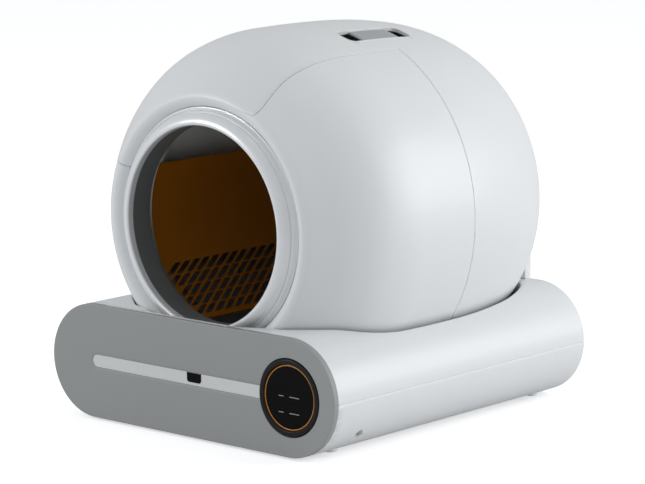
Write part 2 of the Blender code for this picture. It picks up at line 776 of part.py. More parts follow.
def drum_profile():
    """Outer (y, radius) points from the mouth to the closed back."""
    step = DRUM_RADIUS - TRACK_RADIUS
    front_run = TRACK_FRONT_END - BARREL_FRONT
    back_run = TRACK_BACK_START - BARREL_BACK
    return [
        (-DRUM_FRONT, DRUM_MOUTH_RADIUS),
        (-DRUM_FRONT, TRACK_RADIUS - NOSE_DROP),
        (-TRACK_FRONT_START, TRACK_RADIUS),
        (-TRACK_FRONT_END, TRACK_RADIUS),
        (-BARREL_FRONT - 0.45 * front_run, TRACK_RADIUS + 0.62 * step),
        (-BARREL_FRONT, DRUM_RADIUS),
        (-PORT_HALF_LENGTH, DRUM_RADIUS),
        (0.0, DRUM_RADIUS),
        (PORT_HALF_LENGTH, DRUM_RADIUS),
        (BARREL_BACK, DRUM_RADIUS),
        (BARREL_BACK + 0.45 * back_run, TRACK_RADIUS + 0.62 * step),
        (TRACK_BACK_START, TRACK_RADIUS),
        (DRUM_BACK - DRUM_WALL, TRACK_RADIUS),
        (DRUM_BACK, TRACK_RADIUS - DRUM_WALL),
    ]


def build_drum(frame, dark, amber):
    profile = drum_profile()
    inner = offset_profile(profile, DRUM_WALL)
    seam = next(i for i, (y, _) in enumerate(profile) if y == 0.0)
    angles = [math.tau * k / DRUM_COLUMNS for k in range(DRUM_COLUMNS)]
    port = math.radians(PORT_HALF_ANGLE)

    def halves(first, last, shift):
        grids = []
        for points in (profile, inner):
            grid = []
            for y, r in points[first:last + 1]:
                y = y + shift if abs(y) < FIT_GAP else y
                grid.append([around(a, r, y) for a in angles])
            grids.append(grid)
        kept = []
        for (y0, _), (y1, _) in zip(profile[first:last], profile[first + 1:last + 1]):
            beside = max(abs(y0), abs(y1)) > PORT_HALF_LENGTH + FIT_GAP
            row = []
            for a in angles:
                middle = a + math.pi / DRUM_COLUMNS
                turned = min(middle, math.tau - middle)
                row.append(beside or turned > port)
            kept.append(row)
        return grids[0], grids[1], kept

    outer, inside, kept = halves(0, seam, -FIT_GAP / 2)
    add_piece("drum_front_shell", shell_from_grids(outer, inside, kept, wrap=True), dark, frame)
    outer, inside, kept = halves(seam, len(profile) - 1, FIT_GAP / 2)
    add_piece("drum_rear_shell", shell_from_grids(outer, inside, kept, wrap=True, cap_last=True),
              dark, frame)

    rows = [-PORT_HALF_LENGTH - PORT_FRAME_WIDTH, -PORT_HALF_LENGTH, 0.0, PORT_HALF_LENGTH,
            PORT_HALF_LENGTH + PORT_FRAME_WIDTH]
    marks = [-port - math.radians(PORT_FRAME_ANGLE), -port, port, port + math.radians(PORT_FRAME_ANGLE)]
    port_columns = sum(1 for a in angles if a <= port + 1e-6 or a >= math.tau - port - 1e-6) - 1
    columns = spread(marks, (1, port_columns, 1))
    low = DRUM_RADIUS + FIT_GAP
    grids = [[[around(a, r, y) for a in columns] for y in rows] for r in (low + PORT_FRAME_WALL, low)]
    last = len(columns) - 2
    kept = [[i in (0, len(rows) - 2) or j in (0, last) for j in range(last + 1)]
            for i in range(len(rows) - 1)]
    add_piece("port_frame", shell_from_grids(grids[0], grids[1], kept), amber, frame)


def sifter_slots(length):
    """Slanted slots in the (y, s) sheet, where s runs down the sheet from its top edge."""
    start = math.radians(SIFTER_GRID_TOP_ANGLE - SIFTER_TOP_ANGLE) * SIFTER_RADIUS
    row_pitch = (length - start - SLOT_EDGE) / SLOT_ROWS
    slot = min(SLOT_LENGTH, row_pitch - SIFTER_WALL)
    slots = []
    for row in range(SLOT_ROWS):
        top = start + row * row_pitch
        low = -SIFTER_FRONT + SLOT_EDGE
        high = SIFTER_BACK - SLOT_EDGE - SLOT_WIDTH - SLOT_SLANT
        y = low + (row * SLOT_SLANT) % SLOT_PITCH
        while y < high:
            slots.append([(y + SLOT_SLANT, top), (y + SLOT_SLANT + SLOT_WIDTH, top),
                          (y + SLOT_WIDTH, top + slot), (y, top + slot)])
            y += SLOT_PITCH
    return slots


def build_sifter(frame, amber):
    """A sheet drilled flat with slanted slots, then rolled round the drum's axis. It seats
    inside the two roller tracks and stands off the barrel between them."""
    top = math.radians(SIFTER_TOP_ANGLE)
    length = math.radians(SIFTER_BOTTOM_ANGLE - SIFTER_TOP_ANGLE) * SIFTER_RADIUS

    def rolled(y, s, depth):
        return around(-top - s / SIFTER_RADIUS, SIFTER_RADIUS - depth, y)

    slots = sifter_slots(length)
    points = []
    edges = []

    def add_loop(loop):
        start = len(points)
        points.extend(Vector(p) for p in loop)
        edges.extend((start + k, start + (k + 1) % len(loop)) for k in range(len(loop)))

    add_loop([(-SIFTER_FRONT, 0.0), (SIFTER_BACK, 0.0), (SIFTER_BACK, length), (-SIFTER_FRONT, length)])
    for slot in slots:
        add_loop(slot)
    grid_start = slots[0][0][1]
    bends = [grid_start * k / 6 for k in range(1, 6)] + [grid_start - SIFTER_WALL / 2]
    for s in bends:
        start = len(points)
        points.extend((Vector((-SIFTER_FRONT, s)), Vector((SIFTER_BACK, s))))
        edges.append((start, start + 1))
    verts, _, faces, _, _, _ = delaunay_2d_cdt(points, edges, [], 1, FIT_GAP / 100)

    def in_slot(face):
        y = sum(verts[i][0] for i in face) / len(face)
        s = sum(verts[i][1] for i in face) / len(face)
        for slot in slots:
            top_s = slot[0][1]
            low_s = slot[2][1]
            if top_s < s < low_s:
                lean = SLOT_SLANT * (low_s - s) / (low_s - top_s)
                if slot[3][0] + lean < y < slot[3][0] + lean + SLOT_WIDTH:
                    return True
        return False

    bm = bmesh.new()
    kept = [face for face in faces if not in_slot(face)]
    used = sorted({i for face in kept for i in face})
    layers = []
    for depth in (0.0, SIFTER_WALL):
        layers.append({i: bm.verts.new(rolled(verts[i][0], verts[i][1], depth)) for i in used})
    edge_faces = {}
    for face in kept:
        bm.faces.new([layers[0][i] for i in face])
        bm.faces.new([layers[1][i] for i in reversed(face)])
        for a, b in zip(face, face[1:] + face[:1]):
            edge_faces.setdefault(frozenset((a, b)), []).append((a, b))
    for uses in edge_faces.values():
        if len(uses) == 1:
            a, b = uses[0]
            bm.faces.new((layers[0][a], layers[1][a], layers[1][b], layers[0][b]))
    add_piece("drum_sifter", bm, amber, frame)


def build_ring_gear(frame, pale):
    outline = gear_outline(RING_GEAR_TEETH, RING_GEAR_PITCH, 0.0)
    placed = [(x, AXIS_Z + z) for x, z in outline]
    gear = add_piece("ring_gear", prism_y(placed, GEAR_FRONT_Y, GEAR_BACK_Y), pale, frame)
    bore = RING_GEAR_PITCH - GEAR_MODULE * 1.25 - GEAR_RIM
    cut(gear, "ring_gear_bore", cylinder_y(bore, 0, AXIS_Z, GEAR_FRONT_Y - OVERRUN,
                                           GEAR_BACK_Y + OVERRUN, DRUM_COLUMNS))


# Drive and rollers

def build_pinion(frame, pale):
    outline = gear_outline(PINION_TEETH, PINION_PITCH, math.pi + math.pi / PINION_TEETH)
    front = GEAR_FRONT_Y
    back = GEAR_BACK_Y
    placed = [(x, PINION_Z + z) for x, z in outline]
    pinion = add_piece("drive_pinion", prism_y(placed, front, back), pale, frame)
    join(pinion, "pinion_shaft", cylinder_y(SHAFT_RADIUS, 0, PINION_Z, back - GEAR_WIDTH / 2,
                                            MOTOR_FRONT_Y + SHAFT_ENGAGEMENT, 16))


def build_motor(steel, dark):
    bore = SHAFT_RADIUS + SHAFT_CLEARANCE
    front = MOTOR_FRONT_Y
    gearbox_end = front + GEARBOX_LENGTH
    end = front + MOTOR_LENGTH
    step = (MOTOR_RADIUS - MOTOR_CAN_RADIUS) / 2
    profile = [
        (bore, front + SHAFT_ENGAGEMENT + 2 * SHAFT_CLEARANCE), (bore, front), (MOTOR_RADIUS, front),
        (MOTOR_RADIUS, gearbox_end), (MOTOR_CAN_RADIUS, gearbox_end + step),
        (MOTOR_CAN_RADIUS, end - 2 * step), (MOTOR_CAN_RADIUS - 2 * step, end),
    ]
    add_piece("gearmotor", turn_y(profile, 0, PINION_Z, 20), steel)
    plate_top = PINION_Z + MOTOR_RADIUS + MOTOR_PLATE
    low = FLOOR_TOP + FIT_GAP
    y0 = MOTOR_PLATE_Y
    y1 = y0 + MOTOR_PLATE
    outline = [(y1, low), (y1, plate_top), (y0, plate_top), (y0, low + MOTOR_PLATE),
               (y0 - MOTOR_PLATE_FOOT, low + MOTOR_PLATE), (y0 - MOTOR_PLATE_FOOT, low)]
    bracket = add_piece("motor_bracket",
                        prism_x(outline, -MOTOR_PLATE_HALF_WIDTH, MOTOR_PLATE_HALF_WIDTH), dark)
    cut(bracket, "motor_bracket_hole", cylinder_y(2 * SHAFT_RADIUS, 0, PINION_Z, y0 - OVERRUN,
                                                  y1 + OVERRUN / 2, 20))


def roller_places():
    distance = TRACK_RADIUS + FIT_GAP + ROLLER_RADIUS
    z = LEDGE_TOP + FIT_GAP + ROLLER_FOOT + ROLLER_FOOT_GAP + ROLLER_RADIUS
    x = math.sqrt(distance ** 2 - (AXIS_Z - z) ** 2)
    for end, y in (("front", -ROLLER_FRONT_Y), ("rear", ROLLER_BACK_Y)):
        for side, sign in (("left", -1), ("right", 1)):
            yield f"{end}_{side}", sign * x, y, z


def build_rollers(white, rubber):
    bore = ROLLER_PIN_RADIUS + FIT_GAP
    half = ROLLER_WIDTH / 2
    edge = ROLLER_WIDTH / 10
    for name, x, y, z in roller_places():
        frame = make_frame(f"roller_axis_{name}", (x, y, z))
        wheel = [
            (bore, y - half), (ROLLER_RADIUS - edge, y - half), (ROLLER_RADIUS, y - half + edge),
            (ROLLER_RADIUS, y + half - edge), (ROLLER_RADIUS - edge, y + half), (bore, y + half),
        ]
        add_piece(f"roller_{name}", turn_y(wheel, x, z, 14, ring=True), rubber, frame)
        inside = half + FIT_GAP
        outside = inside + ROLLER_EAR
        foot = LEDGE_TOP + FIT_GAP
        ear_top = z + ROLLER_EAR_WIDTH / 2
        outline = [
            (y - outside, foot), (y + outside, foot), (y + outside, ear_top), (y + inside, ear_top),
            (y + inside, foot + ROLLER_FOOT), (y - inside, foot + ROLLER_FOOT),
            (y - inside, ear_top), (y - outside, ear_top),
        ]
        half_ear = ROLLER_EAR_WIDTH / 2
        bracket = add_piece(f"roller_bracket_{name}", prism_x(outline, x - half_ear, x + half_ear), white)
        join(bracket, f"roller_pin_{name}", cylinder_y(ROLLER_PIN_RADIUS, x, z, y - inside - ROLLER_EAR / 2,
                                                       y + inside + ROLLER_EAR / 2, 12))


# Base

def build_lower_shell(white):
    shell = add_piece("base_lower_shell", prism_y(stadium(half=-1), SHELL_FRONT_Y, BACK_Y), white)
    cut(shell, "lower_shell_hollow", prism_y(stadium(SHELL_WALL), SHELL_FRONT_Y - OVERRUN,
                                             BACK_Y - SHELL_WALL))
    root = FLOOR_TOP - SHELL_WALL / 2
    for sx in (-1, 1):
        for sy in (-1, 1):
            tag = f"{'left' if sx < 0 else 'right'}_{'front' if sy < 0 else 'rear'}"
            join(shell, f"cradle_boss_{tag}", cylinder_z(BOSS_RADIUS, sx * BOSS_X, sy * BOSS_Y,
                                                         root + SHELL_WALL,
                                                         LEDGE_TOP - CRADLE_WALL - FIT_GAP))
            join(shell, f"well_boss_{tag}", cylinder_z(WELL_RADIUS + WELL_WALL, sx * WELL_X, sy * WELL_Y,
                                                       well_start() + SHELL_WALL, WELL_TOP + WELL_WALL))
            cut(shell, f"well_bore_{tag}", cylinder_z(WELL_RADIUS, sx * WELL_X, sy * WELL_Y,
                                                      FOOT_HEIGHT - OVERRUN, WELL_TOP))
            px = BOARD_X + sx * (BOARD_WIDTH / 2 - STANDOFF_INSET)
            py = BOARD_Y + sy * (BOARD_LENGTH / 2 - STANDOFF_INSET)
            join(shell, f"board_standoff_{tag}", cylinder_z(STANDOFF_RADIUS, px, py, root,
                                                            FLOOR_TOP + STANDOFF_HEIGHT, 8))
    rail_right = BIN_RIGHT + TRAY_MARGIN + RAIL_CLEARANCE
    rail_left = -BIN_LEFT - TRAY_MARGIN - RAIL_CLEARANCE - RAIL_WIDTH
    for name, x in (("right", rail_right), ("left", rail_left)):
        rail = box((x, -RAIL_LENGTH * 2 / 3, root),
                   (x + RAIL_WIDTH, RAIL_LENGTH / 3, FLOOR_TOP + RAIL_HEIGHT))
        join(shell, f"drawer_rail_{name}", rail)
    cut(shell, "socket_hole", cylinder_y(SOCKET_RADIUS + FIT_GAP, SOCKET_X, SOCKET_Z,
                                         BACK_Y - SHELL_WALL - OVERRUN / 2, BACK_Y + OVERRUN, 24))


def well_start():
    """Height of the round side's skin above the well's middle."""
    beyond = WELL_X - CORE_HALF
    return MID_Z - math.sqrt((END_RADIUS - SHELL_WALL) ** 2 - beyond ** 2) - SHELL_WALL


def build_upper_deck(white):
    deck = add_piece("base_upper_deck", prism_y(stadium(half=1), SHELL_FRONT_Y, BACK_Y), white)
    cut(deck, "upper_deck_hollow", prism_y(stadium(SHELL_WALL), SHELL_FRONT_Y - OVERRUN,
                                           BACK_Y - SHELL_WALL))
    skirt = join(deck, "deck_skirt", prism_z(opening_outline(SHELL_WALL), LEDGE_TOP + FIT_GAP,
                                             BASE_TOP + OVERRUN))
    roof = prism_y(stadium(SHELL_WALL / 2), FRONT_Y, BACK_Y)
    change(skirt, "deck_skirt_roof", roof, "INTERSECT")
    cut(deck, "deck_opening", prism_z(opening_outline(), MID_Z, BASE_TOP + OVERRUN))


def cradle_radius(y):
    """Radius that the cradle leaves round the drum, the ring gear and the ring."""
    low = TRACK_RADIUS + CRADLE_CLEARANCE
    high = DRUM_RADIUS + CRADLE_CLEARANCE
    if -BARREL_FRONT - 2.5 * CRADLE_CLEARANCE < y < BARREL_BACK + 2.5 * CRADLE_CLEARANCE:
        return high
    if y < GEAR_BACK_Y + CRADLE_CLEARANCE:
        return low
    return 0.0


def build_cradle(grey):
    """A tray under the drum: one sheet that dips round the drum and is level beside it."""
    step = CRADLE_CLEARANCE
    rows = [
        -CRADLE_FRONT, -TRACK_FRONT_END, -BARREL_FRONT - 2 * step, -BARREL_FRONT,
        -PORT_HALF_LENGTH, PORT_HALF_LENGTH, BARREL_BACK, BARREL_BACK + 2 * step,
        TRACK_BACK_START, GEAR_NOTCH_FRONT, GEAR_BACK_Y + step / 2, GEAR_BACK_Y + 1.5 * step,
        GEAR_NOTCH_BACK, CRADLE_BACK,
    ]
    half = [GEAR_NOTCH_HALF_WIDTH, CHUTE_HALF_WIDTH,
            trough_edge(TRACK_RADIUS) + step / 4, (CHUTE_HALF_WIDTH + trough_edge(DRUM_RADIUS)) / 2,
            trough_edge(DRUM_RADIUS), CRADLE_HALF_WIDTH]
    columns = [-x for x in reversed(half)] + half
    top = []
    for y in rows:
        line = []
        for x in columns:
            radius = cradle_radius(y)
            dip = math.sqrt(radius ** 2 - x ** 2) if abs(x) < radius else 0.0
            line.append((x, y, min(LEDGE_TOP, AXIS_Z - dip)))
        top.append(line)
    under = [[(x, y, z - CRADLE_WALL) for x, y, z in line] for line in top]
    kept = []
    for y0, y1 in zip(rows, rows[1:]):
        line = []
        for x0, x1 in zip(columns, columns[1:]):
            chute = max(abs(x0), abs(x1)) <= CHUTE_HALF_WIDTH and max(abs(y0), abs(y1)) <= PORT_HALF_LENGTH
            notch = (max(abs(x0), abs(x1)) <= GEAR_NOTCH_HALF_WIDTH
                     and y0 >= GEAR_NOTCH_FRONT and y1 <= GEAR_NOTCH_BACK)
            line.append(not chute and not notch)
        kept.append(line)
    add_piece("drum_cradle", shell_from_grids(top, under, kept), grey)


def trough_edge(radius):
    """Half width of the cradle's dip at the ledge, for a drum part of this radius."""
    return math.sqrt((radius + CRADLE_CLEARANCE) ** 2 - (AXIS_Z - LEDGE_TOP) ** 2)


def build_feet(rubber):
    for sx, side in ((-1, "left"), (1, "right")):
        for sy, end in ((-1, "front"), (1, "rear")):
            profile = [(FOOT_RADIUS - FOOT_TAPER, 0.0), (FOOT_RADIUS, FOOT_HEIGHT / 2),
                       (FOOT_RADIUS, FOOT_HEIGHT - FIT_GAP)]
            add_piece(f"foot_{end}_{side}", turn_z(profile, sx * FOOT_X, sy * FOOT_Y, 16), rubber)


def column_outline(inset=0.0):
    left = -COLUMN_HALF_WIDTH + inset
    right = COLUMN_HALF_WIDTH - inset
    low = BASE_TOP + FIT_GAP + inset
    high = BASE_TOP + COLUMN_HEIGHT - inset
    radius = COLUMN_CORNER - inset
    outline = [(right, low)]
    for cx, start in ((right - radius, 0), (left + radius, 90)):
        for k in range(6):
            angle = math.radians(start + 90 * k / 5)
            outline.append((cx + radius * math.cos(angle), high - radius + radius * math.sin(angle)))
    return outline + [(left, low)]


def build_column(white, grey):
    column = add_piece("rear_column", prism_y(column_outline(), COLUMN_FRONT_Y, BACK_Y), white)
    cut(column, "column_hollow", prism_y(column_outline(SHELL_WALL), COLUMN_FRONT_Y + SHELL_WALL,
                                         BACK_Y + OVERRUN))
    cover_outline = column_outline(SHELL_WALL + FIT_GAP)
    add_piece("rear_cover", prism_y(cover_outline, BACK_Y - SHELL_WALL, BACK_Y), grey)


def build_boards(green, dark):
    low = FLOOR_TOP + STANDOFF_HEIGHT + FIT_GAP
    high = low + BOARD_THICKNESS
    plate = box((BOARD_X - BOARD_WIDTH / 2, BOARD_Y - BOARD_LENGTH / 2, low),
                (BOARD_X + BOARD_WIDTH / 2, BOARD_Y + BOARD_LENGTH / 2, high))
    board = add_piece("main_board", plate, green)
    relay = box((BOARD_X - BOARD_WIDTH / 4, BOARD_Y - BOARD_LENGTH / 3, low + BOARD_THICKNESS / 2),
                (BOARD_X, BOARD_Y - BOARD_LENGTH / 8, high + CHIP_HEIGHT))
    join(board, "board_relay", relay)
    join(board, "board_capacitor", cylinder_z(CHIP_HEIGHT / 2, BOARD_X + BOARD_WIDTH / 5,
                                              BOARD_Y + BOARD_LENGTH / 4, low + BOARD_THICKNESS / 2,
                                              high + CHIP_HEIGHT))
    inner = BACK_Y - SHELL_WALL - FIT_GAP
    lip = BACK_Y - SOCKET_LIP
    socket = [
        (SOCKET_BORE, lip - SOCKET_BORE_DEPTH), (SOCKET_BORE, lip), (SOCKET_RADIUS, lip),
        (SOCKET_RADIUS, inner), (SOCKET_FLANGE_RADIUS, inner),
        (SOCKET_FLANGE_RADIUS, inner - SOCKET_FLANGE),
        (SOCKET_RADIUS, inner - SOCKET_FLANGE), (SOCKET_RADIUS, lip - SOCKET_LENGTH),
    ]
    add_piece("power_socket", turn_y(socket, SOCKET_X, SOCKET_Z, 16), dark)


# Control pod

def build_pod(black, amber, glass, green, grey):
    front = FRONT_Y
    shoulder = front + POD_SHOULDER_DEPTH
    back = front + POD_DEPTH
    glass_front = front + POD_SINK
    rim_run = POD_RIM_BEVEL * (OVERRUN + POD_SINK) / POD_SINK
    outside = [(POD_RADIUS - POD_RIM_BEVEL, front), (POD_RADIUS, front + POD_RIM_BEVEL), (POD_RADIUS, back)]
    inside = [
        (POD_CAVITY_RADIUS, back - POD_BACK_WALL), (POD_CAVITY_RADIUS, shoulder), (POD_RIM_INNER, shoulder),
        (POD_RIM_INNER, glass_front), (POD_RIM_INNER + rim_run, front - OVERRUN),
    ]
    bezel = add_piece("control_bezel", turn_y(outside, POD_X, MID_Z, POD_STEPS), black)
    cut(bezel, "control_bezel_cavity", turn_y(inside, POD_X, MID_Z, POD_STEPS))
    seat = shoulder - FIT_GAP
    ring_outer = POD_RIM_INNER - FIT_GAP
    ring_inner = ring_outer - LIGHT_RING_WIDTH
    ring = [(ring_inner, glass_front), (ring_outer, glass_front), (ring_outer, seat), (ring_inner, seat)]
    add_piece("control_light_ring", turn_y(ring, POD_X, MID_Z, POD_STEPS, ring=True), amber)
    add_piece("control_glass", cylinder_y(ring_inner - FIT_GAP, POD_X, MID_Z,
                                          glass_front + FIT_GAP, seat, POD_STEPS), glass)
    board_y = front + CONTROL_BOARD_DEPTH
    add_piece("control_board", cylinder_y(POD_CAVITY_RADIUS - FIT_GAP, POD_X, MID_Z, board_y,
                                          board_y + BOARD_THICKNESS, POD_STEPS), green)
    reach = INNER_END_RADIUS - FIT_GAP
    bracket_y = back + FIT_GAP
    bracket = add_piece("control_bracket", cylinder_y(reach, POD_X, MID_Z, bracket_y,
                                                      bracket_y + POD_BRACKET_THICKNESS, POD_STEPS), grey)
    left_edge = POD_X - POD_RADIUS
    top_edge = LEDGE_TOP - CRADLE_WALL - FIT_GAP
    cut(bracket, "bracket_left_cut", box((left_edge - END_RADIUS, bracket_y - OVERRUN, -OVERRUN),
                                         (left_edge, bracket_y + OVERRUN, BASE_TOP + OVERRUN)))
    cut(bracket, "bracket_top_cut", box((left_edge - END_RADIUS, bracket_y - OVERRUN, top_edge),
                                        (BASE_WIDTH / 2, bracket_y + OVERRUN, BASE_TOP + OVERRUN)))


# Drawer

def build_drawer_front(frame, grey, light, black):
    groove_inset = END_RADIUS - STRIPE_HEIGHT / 2 - FIT_GAP
    valley = FRONT_Y + PANEL_VALLEY
    floor = valley + STRIPE_GROOVE
    loops = []
    for y, inset in ((PANEL_BACK_Y, 0.0), (FRONT_Y + PANEL_EDGE, 0.0), (FRONT_Y, PANEL_EDGE),
                     (valley, groove_inset), (floor, groove_inset)):
        loops.append([(x, y, z) for x, z in stadium(inset)])
    panel = add_piece("drawer_front", loft(loops), grey, frame)
    cut(panel, "pod_hole", cylinder_y(POD_RADIUS + POD_HOLE_CLEARANCE, POD_X, MID_Z, FRONT_Y - OVERRUN,
                                      PANEL_BACK_Y + OVERRUN, POD_STEPS))
    pull = box((PULL_X - PULL_WIDTH / 2, PANEL_BACK_Y - PULL_DEPTH, BASE_TOP - PULL_HEIGHT),
               (PULL_X + PULL_WIDTH / 2, PANEL_BACK_Y + OVERRUN, BASE_TOP + OVERRUN))
    cut(panel, "finger_pull", pull)
    back = floor - FIT_GAP
    stripe_outline = stadium(END_RADIUS - STRIPE_HEIGHT / 2)
    stripe = add_piece("front_stripe", prism_y(stripe_outline, back - STRIPE_THICKNESS, back), light, frame)
    cut(stripe, "stripe_pod_end", cylinder_y(POD_RADIUS + POD_HOLE_CLEARANCE, POD_X, MID_Z,
                                             FRONT_Y - OVERRUN, PANEL_BACK_Y, POD_STEPS))
    stripe_top = MID_Z + STRIPE_HEIGHT / 2
    x0 = WINDOW_X - WINDOW_WIDTH / 2
    x1 = WINDOW_X + WINDOW_WIDTH / 2
    low = stripe_top - WINDOW_HEIGHT

    def window_outline(grow, top):
        radius = WINDOW_CORNER + grow
        points = [(x1 + grow, top), (x0 - grow, top)]
        for cx, start in ((x0 + WINDOW_CORNER, 180), (x1 - WINDOW_CORNER, 270)):
            for k in range(5):
                angle = math.radians(start + 90 * k / 4)
                points.append((cx + radius * math.cos(angle),
                               low + WINDOW_CORNER + radius * math.sin(angle)))
        return points

    cut(stripe, "window_notch", prism_y(window_outline(FIT_GAP, stripe_top + OVERRUN),
                                        FRONT_Y - OVERRUN, PANEL_BACK_Y))
    add_piece("sensor_window", prism_y(window_outline(0.0, stripe_top), back - WINDOW_THICKNESS, back),
              black, frame)


def open_box(x0, x1, y0, y1, z0, z1, wall, corner):
    """A tray with an open top: rounded outside, and an inside that keeps the wall."""
    outer = rounded_box(x0, x1, y0, y1, corner)
    inner = rounded_box(x0 + wall, x1 - wall, y0 + wall, y1 - wall, corner - wall)
    loops = [[(x, y, z0) for x, y in outer], [(x, y, z1) for x, y in outer],
             [(x, y, z1) for x, y in inner], [(x, y, z0 + wall) for x, y in inner]]
    return loft(loops)


def build_drawer(frame, grey, dark, white):
    tray_front = PANEL_BACK_Y + FIT_GAP
    bin_front = tray_front + TRAY_MARGIN + FIT_GAP
    bin_back = bin_front + BIN_LENGTH
    add_piece("drawer_tray", open_box(-BIN_LEFT - TRAY_MARGIN - FIT_GAP, BIN_RIGHT + TRAY_MARGIN + FIT_GAP,
                                      tray_front, bin_back + TRAY_MARGIN + FIT_GAP, TRAY_LOW,
                                      TRAY_LOW + TRAY_HEIGHT, TRAY_MARGIN, BIN_CORNER + TRAY_MARGIN),
              grey, frame)
    add_piece("waste_bin", open_box(-BIN_LEFT, BIN_RIGHT, bin_front, bin_back, BIN_LOW, BIN_HIGH,
                                    BIN_WALL, BIN_CORNER), dark, frame)
    outer = rounded_box(-BIN_LEFT, BIN_RIGHT, bin_front, bin_back, BIN_CORNER)
    inset = BAG_RING_WIDTH
    inner = rounded_box(-BIN_LEFT + inset, BIN_RIGHT - inset, bin_front + inset, bin_back - inset,
                        BIN_CORNER - inset)
    lip = BIN_WALL + FIT_GAP
    lip_outer = rounded_box(-BIN_LEFT + lip, BIN_RIGHT - lip, bin_front + lip, bin_back - lip,
                            BIN_CORNER - lip)
    low = BIN_HIGH + FIT_GAP
    high = BAG_RING_TOP
    loops = [[(x, y, low) for x, y in outer], [(x, y, high) for x, y in outer],
             [(x, y, high) for x, y in inner], [(x, y, BIN_HIGH - BAG_RING_LIP) for x, y in inner],
             [(x, y, BIN_HIGH - BAG_RING_LIP) for x, y in lip_outer], [(x, y, low) for x, y in lip_outer]]
    add_piece("bag_ring", loft(loops, close=True), white, frame)


def build_all():
    clear_scene()
    white = make_material("white_plastic", (0.80, 0.80, 0.79), 0.42)
    silver = make_material("silver_plastic", (0.66, 0.67, 0.68), 0.30)
    grey = make_material("panel_grey", (0.23, 0.24, 0.235), 0.45)
    stripe_grey = make_material("stripe_grey", (0.48, 0.50, 0.50), 0.40)
    grip_grey = make_material("grip_grey", (0.37, 0.39, 0.40), 0.50)
    dark = make_material("dark_grey", (0.035, 0.035, 0.035), 0.55)
    amber = make_material("amber", (0.16, 0.055, 0.006), 0.30)
    light = make_material("amber_light", (0.50, 0.18, 0.01), 0.35)
    black = make_material("gloss_black", (0.008, 0.008, 0.008), 0.12)
    green = make_material("board_green", (0.02, 0.12, 0.05), 0.50)
    rubber = make_material("rubber", (0.03, 0.03, 0.03), 0.80)
    nylon = make_material("nylon", (0.62, 0.61, 0.56), 0.50)
    steel = make_material("steel", (0.55, 0.55, 0.56), 0.35, metallic=1.0)

    build_lower_shell(white)
    build_upper_deck(white)
    build_cradle(dark)
    build_feet(rubber)
    build_column(white, white)
    build_boards(green, dark)
    build_motor(steel, dark)
    build_pod(black, light, black, green, dark)
    build_rollers(nylon, rubber)

    drawer = make_frame("drawer_slide")
    build_drawer_front(drawer, grey, stripe_grey, black)
    build_drawer(drawer, grey, dark, white)

    cover = make_frame("cover_lift")
    top = build_globe(cover, white)
    build_entry(cover, silver, dark)
    build_grip(top, cover, white, grip_grey)

    drum = make_frame("drum_axis", (0, 0, AXIS_Z))
    build_drum(drum, dark, amber)
    build_sifter(drum, amber)
    build_ring_gear(drum, nylon)

    pinion = make_frame("pinion_axis", (0, GEAR_FRONT_Y, PINION_Z))
    build_pinion(pinion, nylon)


build_all()
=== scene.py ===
import json
import math

import bmesh
import bpy
import numpy as np
from mathutils import Matrix, Vector


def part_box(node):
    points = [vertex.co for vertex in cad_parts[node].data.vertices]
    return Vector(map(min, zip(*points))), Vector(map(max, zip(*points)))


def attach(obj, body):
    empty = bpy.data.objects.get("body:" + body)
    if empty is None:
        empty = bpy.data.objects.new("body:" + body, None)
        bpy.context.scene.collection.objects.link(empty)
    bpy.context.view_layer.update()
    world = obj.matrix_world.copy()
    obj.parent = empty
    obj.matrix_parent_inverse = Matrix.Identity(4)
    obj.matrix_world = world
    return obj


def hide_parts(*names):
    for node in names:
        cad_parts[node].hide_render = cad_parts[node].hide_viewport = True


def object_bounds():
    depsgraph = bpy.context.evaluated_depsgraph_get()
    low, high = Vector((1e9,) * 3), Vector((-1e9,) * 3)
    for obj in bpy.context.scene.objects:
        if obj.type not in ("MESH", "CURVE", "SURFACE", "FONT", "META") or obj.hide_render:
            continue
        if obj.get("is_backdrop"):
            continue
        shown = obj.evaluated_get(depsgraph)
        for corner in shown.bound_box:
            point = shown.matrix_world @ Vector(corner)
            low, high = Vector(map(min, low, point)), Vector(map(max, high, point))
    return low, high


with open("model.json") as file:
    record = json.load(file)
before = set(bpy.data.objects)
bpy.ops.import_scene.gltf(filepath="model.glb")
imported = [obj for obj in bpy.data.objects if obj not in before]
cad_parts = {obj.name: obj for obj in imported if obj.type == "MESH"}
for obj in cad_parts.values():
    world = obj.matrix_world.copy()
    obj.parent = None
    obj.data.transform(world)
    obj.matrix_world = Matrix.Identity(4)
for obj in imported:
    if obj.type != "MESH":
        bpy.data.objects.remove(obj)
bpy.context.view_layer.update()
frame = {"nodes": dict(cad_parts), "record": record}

# Camera: where the photograph was taken from, in metres and degrees
photoCamera = {
    "place": (2.536, -2.879, 0.886),
    "yaw": 41.42,
    "pitch": 9.83,
    "roll": -0.32,
    "lens": 168.26,
    "sensor": 36.0,
    "shiftX": 4.1 / 645,
    "shiftY": -4.7 / 645,
}


